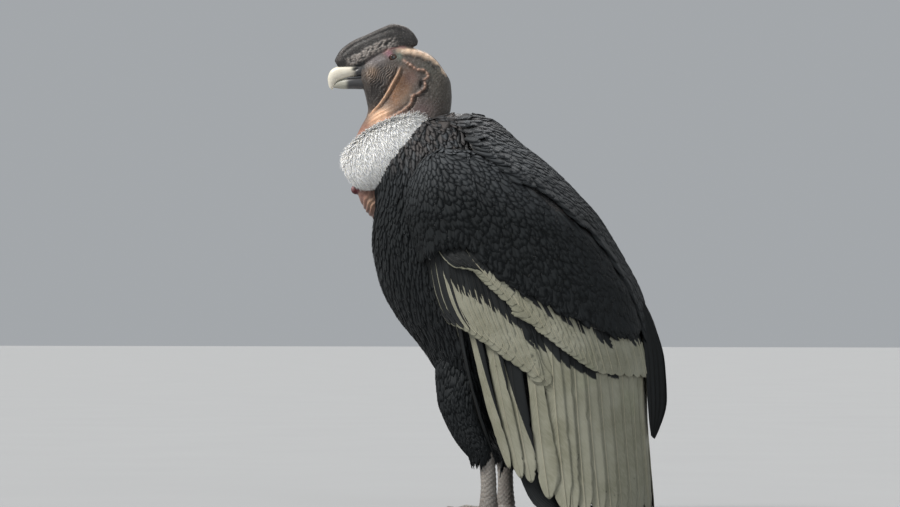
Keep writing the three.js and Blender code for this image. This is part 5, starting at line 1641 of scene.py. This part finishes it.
def build():
    head = head_skin()
    leg = leg_surface()
    other = (leg[0] * np.array([1, -1, 1]), leg[1][:, ::-1], leg[2])
    points, quads, tones, count = [], [], [], 0
    for p, f, t in (head, leg, other, core()):
        points.append(p)
        quads.append(f + count)
        tones.append(t)
        count += len(p)
    flesh = ["head", "neck", "comb", "crop_skin", "red_bulb", "torso", "mantle"]
    for side in ("left", "right"):
        flesh += [f"thigh_{side}", f"shank_{side}", f"foot_{side}", f"wing_{side}"]
    faces = [tuple(q[:3]) if q[2] == q[3] else tuple(q) for q in np.concatenate(quads)]
    coloured("skin", np.concatenate(points), faces, np.concatenate(tones), SKIN, flesh, "bare_skin")
    upper = bill(BILL_UPPER, (0.70, 0.66, 0.56), 348, 7)
    lower = bill(BILL_LOWER, (0.36, 0.355, 0.30), 342, 5)
    coloured("bill_upper_horn", *upper, HORN, ("bill_upper",), "bill_horn")
    coloured("bill_lower_horn", *lower, HORN, ("bill_lower",), "bill_horn")
    eyes()
    claws()
    points, faces = tube(ruff_core(), True)
    show("ruff_body", raw_mesh(place(points), faces), DOWN, ("ruff",))
    dress_ruff().piece("ruff_down", DOWN, ("ruff",), "white_down")
    dress_ruff().piece("ruff_down_under", DOWN, ("ruff",), "white_down")
    dress_wing()
    for name, dress, nodes in (
        ("arm_feathers", dress_arm, ("wing_left", "wing_right")),
        ("back_feathers", dress_mantle, ("mantle",)),
        ("breast_feathers", dress_trunk, ("torso",)),
        ("thigh_feathers", dress_thighs, ("thigh_left", "thigh_right")),
    ):
        dress().piece(name, BLACK, nodes, "black_feathers")
    dark_vanes("tertial_feathers", dress_tertials(), "mantle")
    hand = dress_hand()
    dark_vanes("hand_feathers_left", hand, "primaries_left")
    dark_vanes("hand_feathers_right", mirror(hand), "primaries_right")
    dark_vanes("tail_feathers", dress_tail(), "tail")


def floor():
    mesh = raw_mesh([(-30, -30, 0), (30, -30, 0), (30, 30, 0), (-30, 30, 0)], [(0, 1, 2, 3)])
    ob = bpy.data.objects.new("floor", mesh)
    bpy.context.scene.collection.objects.link(ob)
    n = Nodes("floor_paper")
    n.set(Base_Color=n.blend(n.noise(3, 3, 0.5), (0.27, 0.275, 0.28), (0.29, 0.295, 0.30)), Roughness=0.9)
    mesh.materials.append(n.material)


def facing(ob, at, aim):
    bpy.context.scene.collection.objects.link(ob)
    ob.location = at
    ob.rotation_euler = (Vector(aim) - Vector(at)).to_track_quat("-Z", "Y").to_euler()


def lamp(name, at, aim, spread, power, colour):
    """A soft light from far off, from a place right of the bird, towards the camera and up, in metres."""
    light = bpy.data.lights.new(name, "SUN")
    light.angle = spread
    light.energy = power
    light.color = colour
    right, near, up = at
    at = (right * COS + near * SIN, right * SIN - near * COS, up)
    facing(bpy.data.objects.new(name, light), at, (0, 0, aim))


# Metres from the bird to the camera, and how high it stands.
DISTANCE = 7.0
CAMERA_HEIGHT = 0.36


def light_and_camera():
    world = bpy.data.worlds.new("room")
    bpy.context.scene.world = world
    world.use_nodes = True
    background = world.node_tree.nodes["Background"]
    background.inputs[0].default_value = (0.80, 0.84, 0.88, 1)
    background.inputs[1].default_value = 0.46
    lamp("key", (-2.2, 0.9, 3.4), 0.55, 0.35, 4.3, (1, 0.975, 0.94))
    lamp("fill", (1.5, 4.0, 1.6), 0.4, 0.8, 0.5, (0.95, 0.98, 1))
    lamp("back", (0.6, -2.5, 3.2), 0.6, 0.5, 1.3, (1, 1, 1))
    camera = bpy.data.cameras.new("camera")
    camera.sensor_width = 36
    camera.lens = camera.sensor_width * DISTANCE / (WIDE * PIXEL / 1000)
    camera.clip_end = 100
    centre = Vector(place([float(U(WIDE / 2)) / COS, 0, float(V(HIGH / 2))]))
    at = centre + Vector((SIN, -COS, 0)) * DISTANCE
    at.z = CAMERA_HEIGHT
    ob = bpy.data.objects.new("camera", camera)
    facing(ob, at, centre)
    bpy.context.scene.camera = ob
    bpy.context.scene.view_settings.view_transform = "Standard"


build()
floor()
light_and_camera()
